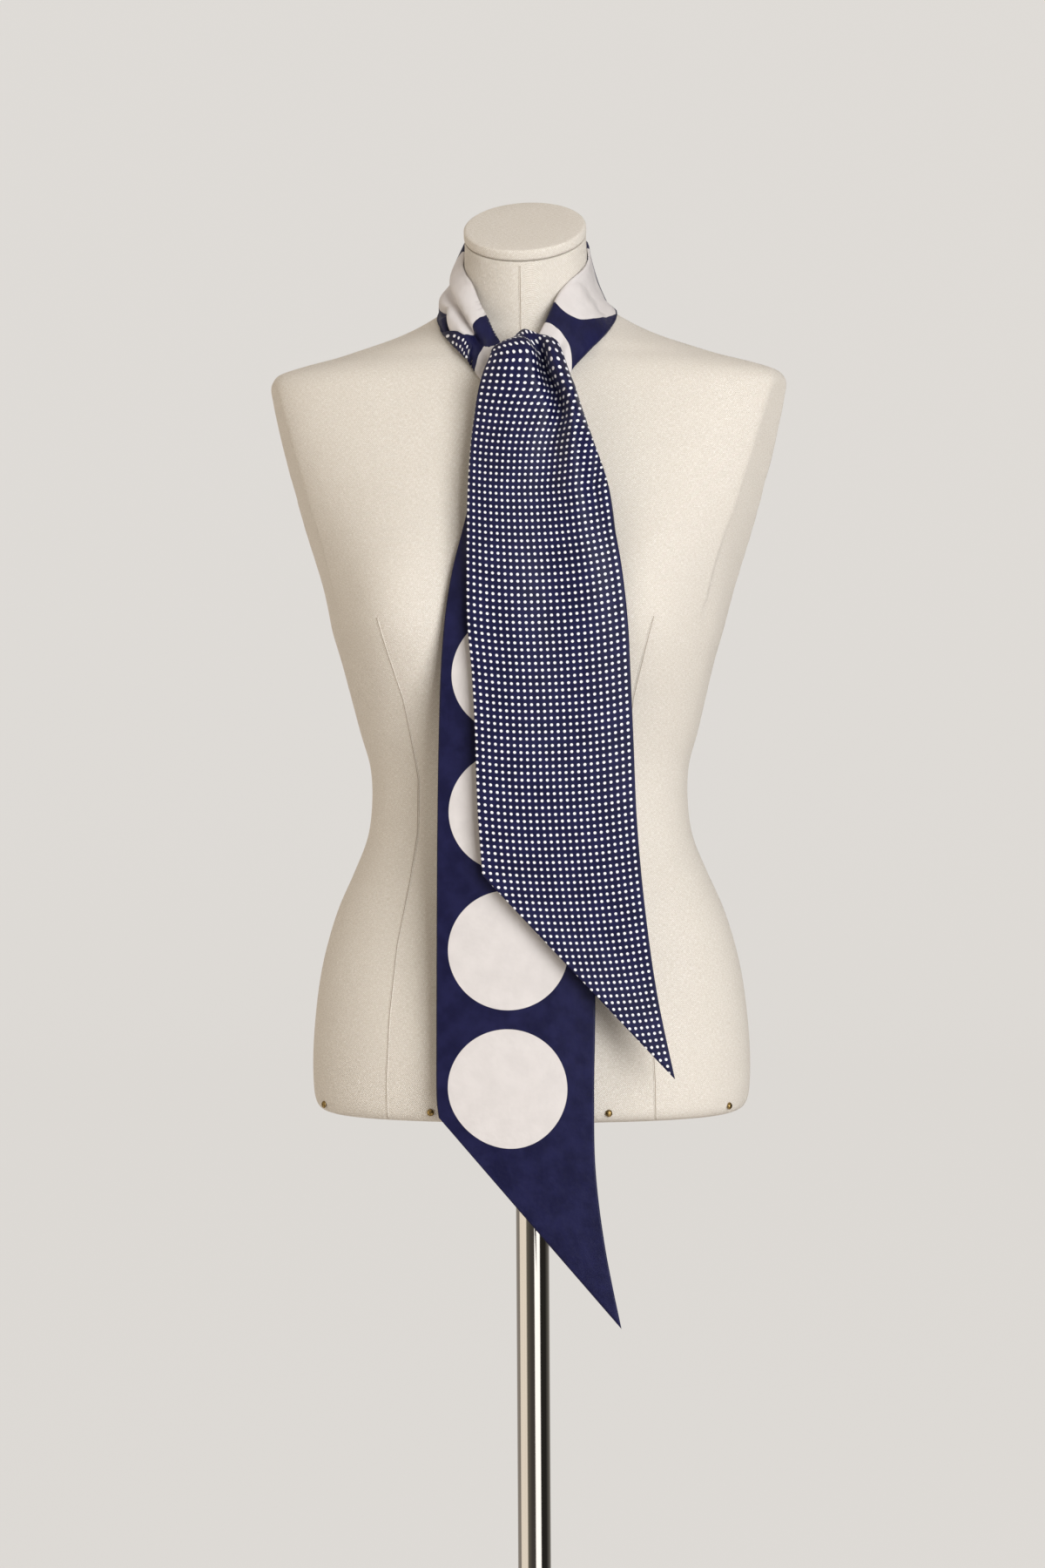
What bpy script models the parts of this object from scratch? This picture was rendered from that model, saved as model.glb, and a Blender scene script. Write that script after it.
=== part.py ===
"""A long narrow silk scarf in a loose drop knot round the neck of a limbless dress form on a stand.

World frame in metres: +Z is up, the front faces -Y, and the origin is on the floor under the pole.
The tables below are in millimetres and degrees, and MM turns them into metres.
"""
import math
from collections import namedtuple

import bmesh
import bpy
from mathutils import Matrix, Vector
from mathutils.bvhtree import BVHTree

MM = 0.001
OBJECT_NAME = "scarf_on_dress_form"

# Cloth: the wall of every scarf stretch, and the seams between them
CLOTH_WALL = 1.2 * MM
SEAM_GAP = 0.3 * MM
FOLD_GAP = 3.0 * MM
CLOTH_OFF_FORM = 1.45 * MM
ACROSS_POINTS = 13
TAIL_POINTS = 17
FOLD_POINTS = 3
TRAVEL_PROBE = 0.05

# Dress form
FORM_SEGMENTS = 48
BUST_APEX_X = 100 * MM
BUST_APEX_Z = 1205 * MM
BUST_RISE = 38 * MM
BUST_SPREAD_X = 42 * MM
BUST_SPREAD_Z = 55 * MM
CAP_THICKNESS = 9 * MM
CAP_OVERHANG = 0.8 * MM
CAP_EDGE_ROUND = 1.5 * MM

# Hem nails, brass domes seated on the cloth cover just above its lower edge
NAIL_RADIUS = 2.8 * MM
NAIL_RISE = 2.0 * MM
NAIL_HEIGHT = 827 * MM
NAIL_SECTION = 2
NAIL_SEAT = 0.8 * MM
NAIL_PROBE = 0.02
NAIL_ARC_STEPS = 3
NAIL_STEPS = 10
NAIL_ANGLES = (-66, -20, 20, 66, 114, 160, 200, 246)

# Stand
POLE_RADIUS = 13 * MM
SLEEVE_RADIUS = 17 * MM
SLEEVE_LENGTH = 50 * MM
FLANGE_RADIUS = 40 * MM
FLANGE_THICKNESS = 4 * MM
BASE_RADIUS = 190 * MM
BASE_THICKNESS = 9 * MM
BASE_EDGE_ROUND = 2.5 * MM
FOOT_COLLAR_RADIUS = 24 * MM
FOOT_COLLAR_HEIGHT = 14 * MM
SOCKET_FILLET = 2 * MM
COLLAR_FILLET = 0.5 * MM
POLE_CHAMFER = 1 * MM
FIT_GAP = 0.3 * MM
ROUND_STEPS = 32
BEVEL_STEPS = 2

# The form, section by section from the hem to the top of the neck. front and back are
# measured from the section's widest line at mid_y, and tilt leans the neck sections forward.
FormSection = namedtuple("FormSection", "z half_width front back mid_y square tilt")
FORM_SECTIONS = [FormSection(*row) for row in (
    (819.0, 160.0, 104.0, 118.0, 0.0, 2.35, 0),
    (821.5, 165.8, 109.6, 123.6, 0.0, 2.35, 0),
    (827.0, 169.4, 113.3, 127.3, 0.0, 2.35, 0),
    (838.0, 171.3, 115.0, 129.0, 0.0, 2.35, 0),
    (862.0, 171.7, 116.0, 130.0, 0.0, 2.35, 0),
    (893.0, 169.6, 114.5, 130.0, 0.0, 2.34, 0),
    (924.0, 165.5, 111.0, 127.0, 0.0, 2.32, 0),
    (951.0, 159.4, 107.0, 121.0, 0.0, 2.30, 0),
    (978.5, 150.5, 103.5, 112.0, 0.0, 2.28, 0),
    (1006.0, 138.2, 100.0, 103.0, 0.0, 2.25, 0),
    (1033.0, 127.6, 97.0, 95.0, 0.0, 2.25, 0),
    (1060.5, 123.8, 95.5, 90.0, 0.0, 2.25, 0),
    (1088.0, 124.8, 96.0, 89.0, 0.0, 2.25, 0),
    (1115.0, 132.0, 98.0, 91.0, 0.0, 2.25, 0),
    (1142.5, 138.6, 101.0, 94.0, 0.0, 2.27, 0),
    (1170.0, 145.3, 104.0, 97.0, 0.0, 2.30, 0),
    (1197.0, 153.2, 106.0, 100.0, 0.0, 2.35, 0),
    (1225.0, 160.9, 106.0, 102.5, 0.0, 2.40, 0),
    (1252.0, 169.3, 104.0, 104.5, 0.0, 2.50, 0),
    (1279.5, 177.8, 100.0, 106.0, 0.0, 2.60, 0),
    (1307.0, 185.2, 95.0, 106.5, 0.0, 2.72, 0),
    (1334.0, 192.6, 88.5, 105.0, 0.0, 2.85, 0),
    (1361.5, 198.7, 80.0, 100.0, 0.0, 2.90, 0),
    (1375.0, 201.3, 75.0, 95.0, 0.0, 2.90, 0),
    (1385.0, 202.8, 71.5, 91.0, 0.0, 2.85, 0),
    (1391.0, 201.0, 69.3, 87.5, 0.0, 2.70, 0),
    (1396.5, 194.0, 67.2, 84.0, 0.0, 2.50, 0),
    (1402.6, 175.1, 65.0, 80.0, 0.0, 2.30, 0),
    (1409.0, 150.5, 62.8, 76.0, 0.0, 2.05, 0),
    (1416.0, 128.5, 61.0, 72.5, 0.0, 1.90, 0),
    (1423.0, 107.7, 59.3, 69.0, 0.0, 1.80, 1),
    (1430.0, 91.0, 58.0, 66.0, 0.0, 1.72, 3),
    (1437.0, 77.5, 57.0, 63.5, -0.5, 1.70, 6),
    (1444.0, 66.5, 56.4, 61.0, -1.5, 1.75, 9),
    (1453.0, 57.0, 55.8, 58.5, -3.0, 1.88, 13),
    (1464.0, 51.0, 55.4, 56.5, -5.0, 1.97, 17),
    (1477.0, 48.5, 55.1, 55.6, -7.5, 2.0, 21),
    (1490.0, 47.6, 55.0, 55.2, -9.8, 2.0, 24),
    (1502.5, 47.4, 55.0, 55.0, -12.0, 2.0, 26),
)]

# A section across the cloth. (lx, ly, lz) is its left or upper outline and (rx, ry, rz) its
# right or lower one. turn and lean give the way that the outer face looks: turn is 0 to the
# front and 90 to the wearer's left, and lean is 90 where it looks straight up. swell lifts
# the middle, l_roll and r_roll say how far round each side curls, crease presses one trough
# in at crease_at (-1 left, 1 right), and sag drops the middle along the length.
ClothSection = namedtuple(
    "ClothSection",
    "lx ly lz rx ry rz turn lean swell l_roll r_roll crease_at crease crease_width sag",
)

# From behind the knot, up over it and down to the cut end
FRONT_SECTIONS = [ClothSection(*row) for row in (
    (-13.0, -76.5, 1391.0, 0.0, -76.0, 1389.0, 0, 180, 0.5, 30, 30, 0.0, 0.0, 0.2, 0),
    (-14.5, -77.0, 1402.0, 2.0, -76.0, 1404.5, 0, 172, 1.0, 40, 40, 0.0, 0.0, 0.2, 0),
    (-17.0, -80.5, 1407.0, 9.0, -82.5, 1414.0, 0, 130, 3.0, 50, 60, 0.35, -3.0, 0.35, 0),
    (-18.5, -86.5, 1408.0, 22.0, -89.0, 1414.5, 0, 95, 4.5, 60, 70, 0.35, -4.5, 0.35, 0),
    (-19.2, -92.0, 1406.5, 30.5, -93.5, 1411.5, 0, 55, 6.5, 70, 80, 0.32, -3.0, 0.28, 0),
    (-20.5, -95.5, 1401.5, 35.5, -96.0, 1402.5, 0, 25, 9.0, 80, 90, 0.28, 6.0, 0.15, 0),
    (-24.5, -98.5, 1390.5, 40.0, -98.0, 1391.0, 0, 8, 10.0, 85, 95, 0.28, 12.5, 0.14, 1),
    (-28.0, -102.0, 1376.0, 46.0, -101.0, 1376.0, 0, 5, 9.5, 80, 90, 0.26, 12.5, 0.14, 2),
    (-30.4, -107.5, 1358.0, 51.5, -106.5, 1358.0, 0, 4, 8.5, 75, 85, 0.22, 10.5, 0.15, 3),
    (-32.8, -115.5, 1334.0, 59.7, -114.5, 1334.0, 0, 3, 7.0, 65, 75, 0.12, 8.0, 0.18, 4),
    (-34.0, -124.5, 1306.0, 69.3, -123.5, 1306.0, 0, 2, 6.0, 55, 65, 0.02, 5.5, 0.22, 4),
    (-34.6, -133.5, 1269.0, 76.9, -132.5, 1269.0, 0, 0, 4.5, 45, 50, -0.05, 3.5, 0.26, 4),
    (-34.6, -139.5, 1238.0, 82.6, -139.0, 1238.0, 0, 0, 3.5, 40, 40, 0.0, 2.5, 0.30, 4),
    (-34.0, -143.0, 1200.0, 86.9, -143.5, 1200.0, 0, 0, 3.0, 35, 35, 0.05, 2.0, 0.32, 3),
    (-30.8, -144.5, 1163.0, 88.8, -145.5, 1161.0, 0, 0, 3.0, 30, 30, 0.1, 1.5, 0.35, 3),
    (-28.8, -145.0, 1124.0, 90.9, -146.0, 1108.0, 0, 0, 2.5, 30, 30, 0.1, 1.0, 0.35, 2),
    (-27.9, -145.0, 1090.0, 93.2, -147.0, 1050.0, 0, 0, 2.0, 30, 30, 0.0, 0.0, 0.35, 2),
    (-26.9, -145.5, 1060.0, 98.4, -149.5, 988.0, 0, 0, 1.5, 30, 30, 0.0, 0.0, 0.35, 3),
    (-25.4, -146.0, 1033.0, 107.2, -155.0, 921.0, 0, 0, 1.0, 30, 30, 0.0, 0.0, 0.35, 5),
    (-23.8, -146.5, 1010.0, 120.5, -165.0, 856.5, 0, 0, 1.0, 30, 30, 0.0, 0.0, 0.35, 7),
)]
KNOT_ROWS = (0.0, 5.0)
FRONT_ROWS = (5.0, 19.0)

# From behind the neck, round the wearer's left side, under the knot and down to the cut end
BACK_SECTIONS = [ClothSection(*row) for row in (
    (-37.0, 33.5, 1505.5, -50.0, 51.0, 1445.0, 220, 12, 2.0, 30, 30, 0.1, 0.5, 0.3, 0),
    (-19.0, 47.0, 1508.0, -27.0, 67.5, 1446.0, 200, 12, 2.0, 30, 30, 0.1, 1.5, 0.3, 0),
    (0.0, 52.0, 1509.0, 0.0, 74.5, 1446.5, 180, 12, 2.5, 30, 30, 0.0, 2.0, 0.3, 0),
    (19.0, 47.0, 1508.0, 27.0, 67.5, 1446.0, 160, 12, 2.0, 30, 30, -0.1, 1.0, 0.3, 0),
    (36.0, 33.5, 1505.5, 50.0, 51.0, 1445.0, 140, 12, 1.5, 30, 30, 0.1, 0.0, 0.3, 0),
    (46.5, 17.0, 1499.0, 63.0, 31.0, 1446.0, 115, 14, -0.5, 30, 30, 0.1, 0.0, 0.3, 0),
    (48.8, -3.0, 1486.0, 68.5, 3.0, 1443.0, 90, 18, -1.0, 30, 30, -0.2, 1.0, 0.4, 0),
    (44.0, -25.0, 1473.5, 70.0, -20.0, 1434.0, 70, 24, 0.0, 30, 30, -0.2, 1.5, 0.4, 0),
    (37.5, -42.5, 1463.5, 67.0, -39.0, 1427.0, 52, 30, 1.5, 30, 40, -0.1, 1.0, 0.4, 0),
    (30.0, -54.0, 1452.0, 61.0, -55.0, 1418.5, 38, 32, 3.0, 30, 50, 0.0, 1.0, 0.4, 0),
    (24.8, -62.0, 1440.5, 53.5, -68.5, 1407.0, 28, 30, 4.0, 30, 60, 0.1, 1.5, 0.3, 0),
    (19.5, -70.0, 1427.5, 44.0, -79.0, 1392.0, 18, 24, 4.0, 30, 60, 0.1, 2.0, 0.3, 0),
    (10.0, -80.5, 1410.0, 40.5, -85.0, 1374.0, 8, 12, 2.0, 30, 50, 0.1, 1.5, 0.3, 0),
    (-5.0, -84.5, 1396.0, 40.5, -88.5, 1360.0, 0, 6, 1.5, 30, 45, 0.1, 1.0, 0.3, 0),
    (-15.0, -88.5, 1375.0, 42.5, -93.0, 1345.0, 0, 4, 2.0, 30, 40, 0.2, 1.0, 0.3, 0),
    (-21.5, -95.0, 1354.0, 45.0, -99.0, 1330.0, 0, 2, 3.0, 30, 40, 0.2, 1.0, 0.3, 0),
    (-28.0, -103.0, 1330.0, 49.0, -106.0, 1312.0, 0, 0, 3.0, 30, 40, 0.2, 0.5, 0.3, 0),
    (-32.5, -111.0, 1303.0, 52.5, -113.0, 1293.0, 0, 0, 3.0, 30, 35, 0.0, 0.0, 0.3, 0),
    (-39.5, -119.5, 1272.0, 55.5, -120.5, 1268.0, 0, 0, 3.0, 30, 30, 0.0, 0.0, 0.3, 0),
    (-47.0, -127.0, 1239.0, 58.5, -127.5, 1237.0, 0, 0, 2.5, 30, 30, 0.0, 0.0, 0.3, 0),
    (-52.0, -131.0, 1205.0, 60.0, -131.5, 1205.0, 0, 0, 2.5, 30, 30, 0.0, 0.0, 0.3, 0),
    (-55.4, -132.0, 1164.0, 60.7, -133.0, 1164.0, 0, 0, 2.5, 30, 30, 0.0, 0.0, 0.3, 0),
    (-57.4, -131.5, 1113.0, 60.7, -132.5, 1113.0, 0, 0, 2.5, 30, 30, 0.0, 0.0, 0.3, 0),
    (-59.0, -130.5, 1050.0, 60.5, -131.0, 1050.0, 0, 0, 2.0, 30, 30, 0.0, 0.0, 0.3, 0),
    (-60.0, -129.5, 980.0, 60.3, -130.0, 980.0, 0, 0, 2.0, 30, 30, 0.0, 0.0, 0.3, 0),
    (-60.7, -129.0, 915.0, 59.8, -129.5, 905.0, 0, 0, 2.0, 30, 30, 0.0, 0.0, 0.3, 0),
    (-61.0, -129.0, 880.0, 58.6, -129.5, 840.0, 0, 0, 2.0, 30, 30, 0.0, 0.0, 0.3, 0),
    (-61.2, -129.0, 856.0, 59.5, -129.5, 785.0, 0, 0, 1.5, 30, 30, 0.0, 0.0, 0.3, 0),
    (-61.0, -129.0, 838.0, 66.5, -130.5, 727.0, 0, 0, 1.0, 30, 30, 0.0, 0.0, 0.3, 0),
    (-59.5, -129.0, 825.5, 78.5, -132.5, 666.5, 0, 0, 0.5, 30, 30, 0.0, 0.0, 0.3, 0),
)]
NECK_BACK_ROWS = (0.0, 4.0)
NECK_RIGHT_ROWS = (4.0, 13.0)
BACK_ROWS = (13.0, 29.0)

# From behind the neck, round the wearer's right side, to its end behind the knot
LEFT_SECTIONS = [ClothSection(*row) for row in (
    (-37.0, 33.5, 1505.5, -50.0, 51.0, 1445.0, -140, 12, 2.0, 30, 30, 0.1, 0.5, 0.3, 0),
    (-48.5, 17.0, 1503.0, -60.0, 29.0, 1448.0, -115, 14, 3.0, 30, 50, 0.0, 1.5, 0.3, 0),
    (-50.8, -3.0, 1487.5, -64.0, 2.0, 1443.0, -90, 18, 6.0, 35, 85, -0.1, 4.0, 0.25, 0),
    (-46.5, -25.0, 1474.0, -66.0, -21.0, 1433.0, -70, 24, 7.0, 45, 85, -0.1, 6.0, 0.22, 0),
    (-39.5, -44.0, 1461.5, -62.5, -39.0, 1425.5, -52, 28, 7.5, 55, 80, -0.1, 7.0, 0.20, 0),
    (-33.0, -54.0, 1448.0, -56.5, -53.0, 1418.5, -40, 30, 7.5, 60, 75, -0.1, 7.0, 0.20, 0),
    (-27.0, -61.0, 1437.5, -49.0, -62.5, 1411.0, -30, 28, 6.5, 60, 70, -0.05, 6.0, 0.20, 0),
    (-21.0, -66.5, 1425.0, -40.0, -69.5, 1401.5, -20, 20, 4.0, 50, 60, 0.0, 3.5, 0.22, 0),
    (-13.5, -70.6, 1412.0, -30.0, -74.1, 1389.0, -8, 10, 1.5, 40, 50, 0.0, 1.0, 0.25, 0),
    (-3.0, -71.9, 1403.0, -15.0, -75.7, 1379.0, 0, 4, 0.5, 30, 30, 0.0, 0.0, 0.25, 0),
)]
NECK_LEFT_ROWS = (0.0, 9.0)

# Cloth turned over along the edges of the neck stretches: inward, or outward as a narrow cuff
UPPER_TUCK = 18 * MM
LOWER_TUCK = 8 * MM
INWARD = -1
OUTWARD = 1

LINEN = ((0.745, 0.672, 0.588), 0.85, 0.0)
NAVY_SILK = ((0.013, 0.014, 0.055), 0.38, 0.0)
DOTTED_SILK = ((0.035, 0.036, 0.085), 0.38, 0.0)
BRASS = ((0.42, 0.29, 0.12), 0.35, 1.0)
STEEL = ((0.48, 0.46, 0.44), 0.32, 1.0)


def clear_scene():
    for old in list(bpy.data.objects):
        bpy.data.objects.remove(old, do_unlink=True)


def make_collection(name):
    collection = bpy.data.collections.new(name)
    bpy.context.scene.collection.children.link(collection)
    return collection


def make_material(name, finish):
    colour, roughness, metallic = finish
    material = bpy.data.materials.new(name)
    material.use_nodes = True
    shader = material.node_tree.nodes["Principled BSDF"]
    shader.inputs["Base Color"].default_value = (*colour, 1.0)
    shader.inputs["Roughness"].default_value = roughness
    shader.inputs["Metallic"].default_value = metallic
    return material


def add_object(name, mesh, material, collection):
    part = bpy.data.objects.new(name, mesh)
    mesh.materials.append(material)
    collection.objects.link(part)
    return part


def smooth_row(rows, position):
    """A row between two rows of a table, on Catmull-Rom curves through every column."""
    last = len(rows) - 1
    start = min(int(position), last - 1)
    part = position - start
    before = rows[max(start - 1, 0)]
    here = rows[start]
    there = rows[start + 1]
    after = rows[min(start + 2, last)]
    values = []
    for a, b, c, d in zip(before, here, there, after):
        bend = (2 * a - 5 * b + 4 * c - d) * part ** 2 + (3 * b - a - 3 * c + d) * part ** 3
        values.append(0.5 * (2 * b + (c - a) * part + bend))
    return type(here)(*values)


def mesh_from_rows(name, rows, closed_round):
    """A mesh of quads over rows of points. A closed one has both end rings filled."""
    mesh = bpy.data.meshes.new(name)
    grid = bmesh.new()
    rings = [[grid.verts.new(point) for point in row] for row in rows]
    count = len(rows[0])
    for lower, upper in zip(rings, rings[1:]):
        for i in range(count if closed_round else count - 1):
            j = (i + 1) % count
            grid.faces.new((lower[i], lower[j], upper[j], upper[i]))
    if closed_round:
        grid.faces.new(list(reversed(rings[0])))
        grid.faces.new(rings[-1])
    bmesh.ops.recalc_face_normals(grid, faces=grid.faces)
    grid.to_mesh(mesh)
    grid.free()
    return mesh


def signed_power(value, exponent):
    return math.copysign(abs(value) ** exponent, value)


def bust_rise(x, z):
    sideways = (abs(x) - BUST_APEX_X) / BUST_SPREAD_X
    upward = (z - BUST_APEX_Z) / BUST_SPREAD_Z
    return BUST_RISE * math.exp(-0.5 * (sideways ** 2 + upward ** 2))


def form_point(section, angle):
    """A point of one form section, with angle 0 at the front and 90 at the wearer's left."""
    across = math.sin(angle)
    ahead = math.cos(angle)
    power = 2 / section.square
    x = section.half_width * MM * signed_power(across, power)
    depth = section.front if ahead > 0 else section.back
    reach = -depth * MM * signed_power(ahead, power)
    if ahead > 0:
        reach -= bust_rise(x, section.z * MM) * min(1.0, 4 * ahead)
    tilt = math.radians(section.tilt)
    y = section.mid_y * MM + reach * math.cos(tilt)
    z = section.z * MM + reach * math.sin(tilt)
    return Vector((x, y, z))


def make_torso(collection, material):
    rows = []
    for section in FORM_SECTIONS:
        steps = range(FORM_SEGMENTS)
        rows.append([form_point(section, math.tau * i / FORM_SEGMENTS) for i in steps])
    mesh = mesh_from_rows("form_torso", rows, closed_round=True)
    mesh.shade_smooth()
    mesh.set_sharp_from_angle(angle=math.radians(50))
    return add_object("form_torso", mesh, material, collection)


def make_neck_cap(collection, material):
    top = FORM_SECTIONS[-1]
    disc = bmesh.new()
    bmesh.ops.create_cone(disc, cap_ends=True, segments=ROUND_STEPS, radius1=1, radius2=1, depth=1)
    mesh = bpy.data.meshes.new("form_neck_cap")
    size = (top.half_width * MM + CAP_OVERHANG, top.front * MM + CAP_OVERHANG, CAP_THICKNESS)
    bmesh.ops.transform(disc, matrix=Matrix.Diagonal((*size, 1)), verts=disc.verts)
    disc.to_mesh(mesh)
    disc.free()
    cap = add_object("form_neck_cap", mesh, material, collection)
    tilt = math.radians(top.tilt)
    normal = Vector((0, -math.sin(tilt), math.cos(tilt)))
    centre = Vector((0, top.mid_y * MM, top.z * MM))
    cap.location = centre + normal * (CAP_THICKNESS / 2 + FIT_GAP)
    cap.rotation_euler = (tilt, 0, 0)
    round_edges(cap, CAP_EDGE_ROUND)
    return cap


def round_edges(part, width):
    bevel = part.modifiers.new("round_edges", "BEVEL")
    bevel.width = width
    bevel.segments = BEVEL_STEPS
    bevel.limit_method = "ANGLE"
    bevel.angle_limit = math.radians(40)


def turned_object(name, profile, steps, material, collection):
    """A turned solid. The profile's (radius, height) points run down its outer side."""
    mesh = bpy.data.meshes.new(name)
    points = [(radius, 0, height) for radius, height in profile]
    edges = [(i, i + 1) for i in range(len(points) - 1)]
    mesh.from_pydata(points, edges, [])
    part = add_object(name, mesh, material, collection)
    screw = part.modifiers.new("turn", "SCREW")
    screw.steps = steps
    screw.render_steps = steps
    screw.use_merge_vertices = True
    screw.merge_threshold = 0.00005
    screw.use_smooth_shade = True
    return part


def make_nails(collection, material):
    """Small brass domes pinned round the hem of the cover."""
    section = FORM_SECTIONS[NAIL_SECTION]
    profile = []
    for i in range(NAIL_ARC_STEPS + 1):
        angle = math.radians(90 * (1 - i / NAIL_ARC_STEPS))
        profile.append((NAIL_RADIUS * math.cos(angle), NAIL_RISE * math.sin(angle)))
    profile.append((0, 0))
    for number, degrees in enumerate(NAIL_ANGLES, start=1):
        angle = math.radians(degrees)
        seat = form_point(section, angle)
        ahead = form_point(section, angle + NAIL_PROBE) - form_point(section, angle - NAIL_PROBE)
        outward = ahead.cross(Vector((0, 0, 1))).normalized()
        if outward.dot(seat) < 0:
            outward = -outward
        nail = turned_object(f"form_nail_{number}", profile, NAIL_STEPS, material, collection)
        nail.rotation_euler = outward.to_track_quat("Z", "Y").to_euler()
        nail.location = Vector((seat.x, seat.y, NAIL_HEIGHT)) + outward * NAIL_SEAT


def make_stand(collection, material):
    hem_z = FORM_SECTIONS[0].z * MM
    top = hem_z - FIT_GAP
    low = top - SLEEVE_LENGTH
    bore = POLE_RADIUS + FIT_GAP
    flange_low = top - FLANGE_THICKNESS
    socket = [(0, top), (FLANGE_RADIUS, top), (FLANGE_RADIUS, flange_low),
              (SLEEVE_RADIUS, flange_low - SOCKET_FILLET), (SLEEVE_RADIUS, low),
              (bore, low), (bore, flange_low), (0, flange_low)]
    turned_object("stand_socket", socket, ROUND_STEPS, material, collection)

    collar_top = BASE_THICKNESS + FOOT_COLLAR_HEIGHT
    rim = BASE_RADIUS - BASE_EDGE_ROUND
    base = [(0, BASE_THICKNESS), (bore, BASE_THICKNESS), (bore, collar_top),
            (FOOT_COLLAR_RADIUS, collar_top), (FOOT_COLLAR_RADIUS, BASE_THICKNESS + COLLAR_FILLET),
            (rim, BASE_THICKNESS), (BASE_RADIUS, BASE_THICKNESS - BASE_EDGE_ROUND),
            (BASE_RADIUS, 0), (0, 0)]
    turned_object("stand_base", base, 2 * ROUND_STEPS, material, collection)

    pole_top = flange_low - FIT_GAP
    pole_low = BASE_THICKNESS + FIT_GAP
    pole = [(0, pole_top), (POLE_RADIUS - POLE_CHAMFER, pole_top),
            (POLE_RADIUS, pole_top - POLE_CHAMFER), (POLE_RADIUS, pole_low), (0, pole_low)]
    turned_object("stand_pole", pole, ROUND_STEPS, material, collection)


def facing(section):
    turn = math.radians(section.turn)
    lean = math.radians(section.lean)
    ahead = math.cos(lean)
    return Vector((ahead * math.sin(turn), -ahead * math.cos(turn), math.sin(lean)))


def crossing(section, travel, count):
    """Points across the cloth at one section, evenly spaced, and the way that each is lifted."""
    left = Vector((section.lx, section.ly, section.lz)) * MM
    right = Vector((section.rx, section.ry, section.rz)) * MM
    chord = right - left
    outward = facing(section)
    outward = (outward - chord * outward.dot(chord) / chord.length_squared).normalized()
    points = []
    fine = 4 * (count - 1)
    for i in range(fine + 1):
        side = 2 * i / fine - 1
        roll = math.radians(section.l_roll if side < 0 else section.r_roll)
        angle = roll * side
        widest = math.sin(min(roll, math.pi / 2))
        along = math.sin(angle) / widest
        drop = (1 - math.cos(angle)) / (1 - math.cos(roll))
        trough = math.exp(-((along - section.crease_at) / section.crease_width) ** 2)
        lift = section.swell * (1 - drop) - section.crease * trough * (1 - drop)
        fall = section.sag * (1 - side * side)
        points.append(left + chord * (along + 1) / 2 + outward * lift * MM + travel * fall * MM)
    return evenly(points, count), outward


def evenly(points, count):
    """The same curve with its points at equal steps along it."""
    lengths = [0.0]
    for a, b in zip(points, points[1:]):
        lengths.append(lengths[-1] + (b - a).length)
    result = []
    place = 0
    for i in range(count):
        wanted = lengths[-1] * i / (count - 1)
        while place < len(points) - 2 and lengths[place + 1] < wanted:
            place += 1
        step = (wanted - lengths[place]) / (lengths[place + 1] - lengths[place])
        result.append(points[place].lerp(points[place + 1], step))
    return result


def turned_over(points, lift, length):
    """A second layer, lifted off the first points of a crossing and joined to them by a bend."""
    run = (points[1] - points[0]).normalized()
    bend = points[0] - run * FOLD_GAP / 2 + lift / 2
    layer = [bend]
    for i in range(FOLD_POINTS + 1):
        layer.append(point_along(points, length * i / FOLD_POINTS) + lift)
    return list(reversed(layer))


def point_along(points, distance):
    for a, b in zip(points, points[1:]):
        step = (b - a).length
        if distance <= step:
            return a.lerp(b, distance / step)
        distance -= step
    return points[-1]


def cloth_rows(sections, rows, count, across, lower_fold):
    """Rows of points along one stretch, a seam gap short of its neighbours at both ends."""
    first, last = rows
    result = []
    for i in range(count + 1):
        position = first + (last - first) * i / count
        section = smooth_row(sections, position)
        ahead = smooth_row(sections, min(position + TRAVEL_PROBE, len(sections) - 1))
        behind = smooth_row(sections, max(position - TRAVEL_PROBE, 0))
        travel = Vector((ahead.lx + ahead.rx - behind.lx - behind.rx,
                         ahead.ly + ahead.ry - behind.ly - behind.ry,
                         ahead.lz + ahead.rz - behind.lz - behind.rz)).normalized()
        points, outward = crossing(section, travel, across)
        if i == 0:
            points = [point + travel * SEAM_GAP for point in points]
        if i == count:
            points = [point - travel * SEAM_GAP for point in points]
        if lower_fold:
            upper = turned_over(points, outward * INWARD * FOLD_GAP, UPPER_TUCK)
            lower = turned_over(points[::-1], outward * lower_fold * FOLD_GAP, LOWER_TUCK)
            points = upper + points + lower[::-1]
        result.append(points)
    return result


def rest_on_form(rows, tree):
    """Moves each point that is too near the form out to its clearance."""
    for row in rows:
        for i, point in enumerate(row):
            nearest, normal, _, _ = tree.find_nearest(point)
            clearance = (point - nearest).dot(normal)
            if clearance < CLOTH_OFF_FORM:
                row[i] = nearest + normal * CLOTH_OFF_FORM


def make_cloth(name, sections, rows, count, across, lower_fold, tree, material, collection):
    grid = cloth_rows(sections, rows, count, across, lower_fold)
    rest_on_form(grid, tree)
    mesh = mesh_from_rows(name, grid, closed_round=False)
    mesh.shade_smooth()
    cloth = add_object(name, mesh, material, collection)
    wall = cloth.modifiers.new("cloth_wall", "SOLIDIFY")
    wall.thickness = CLOTH_WALL
    wall.offset = 0
    wall.use_even_offset = False
    return cloth


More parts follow.
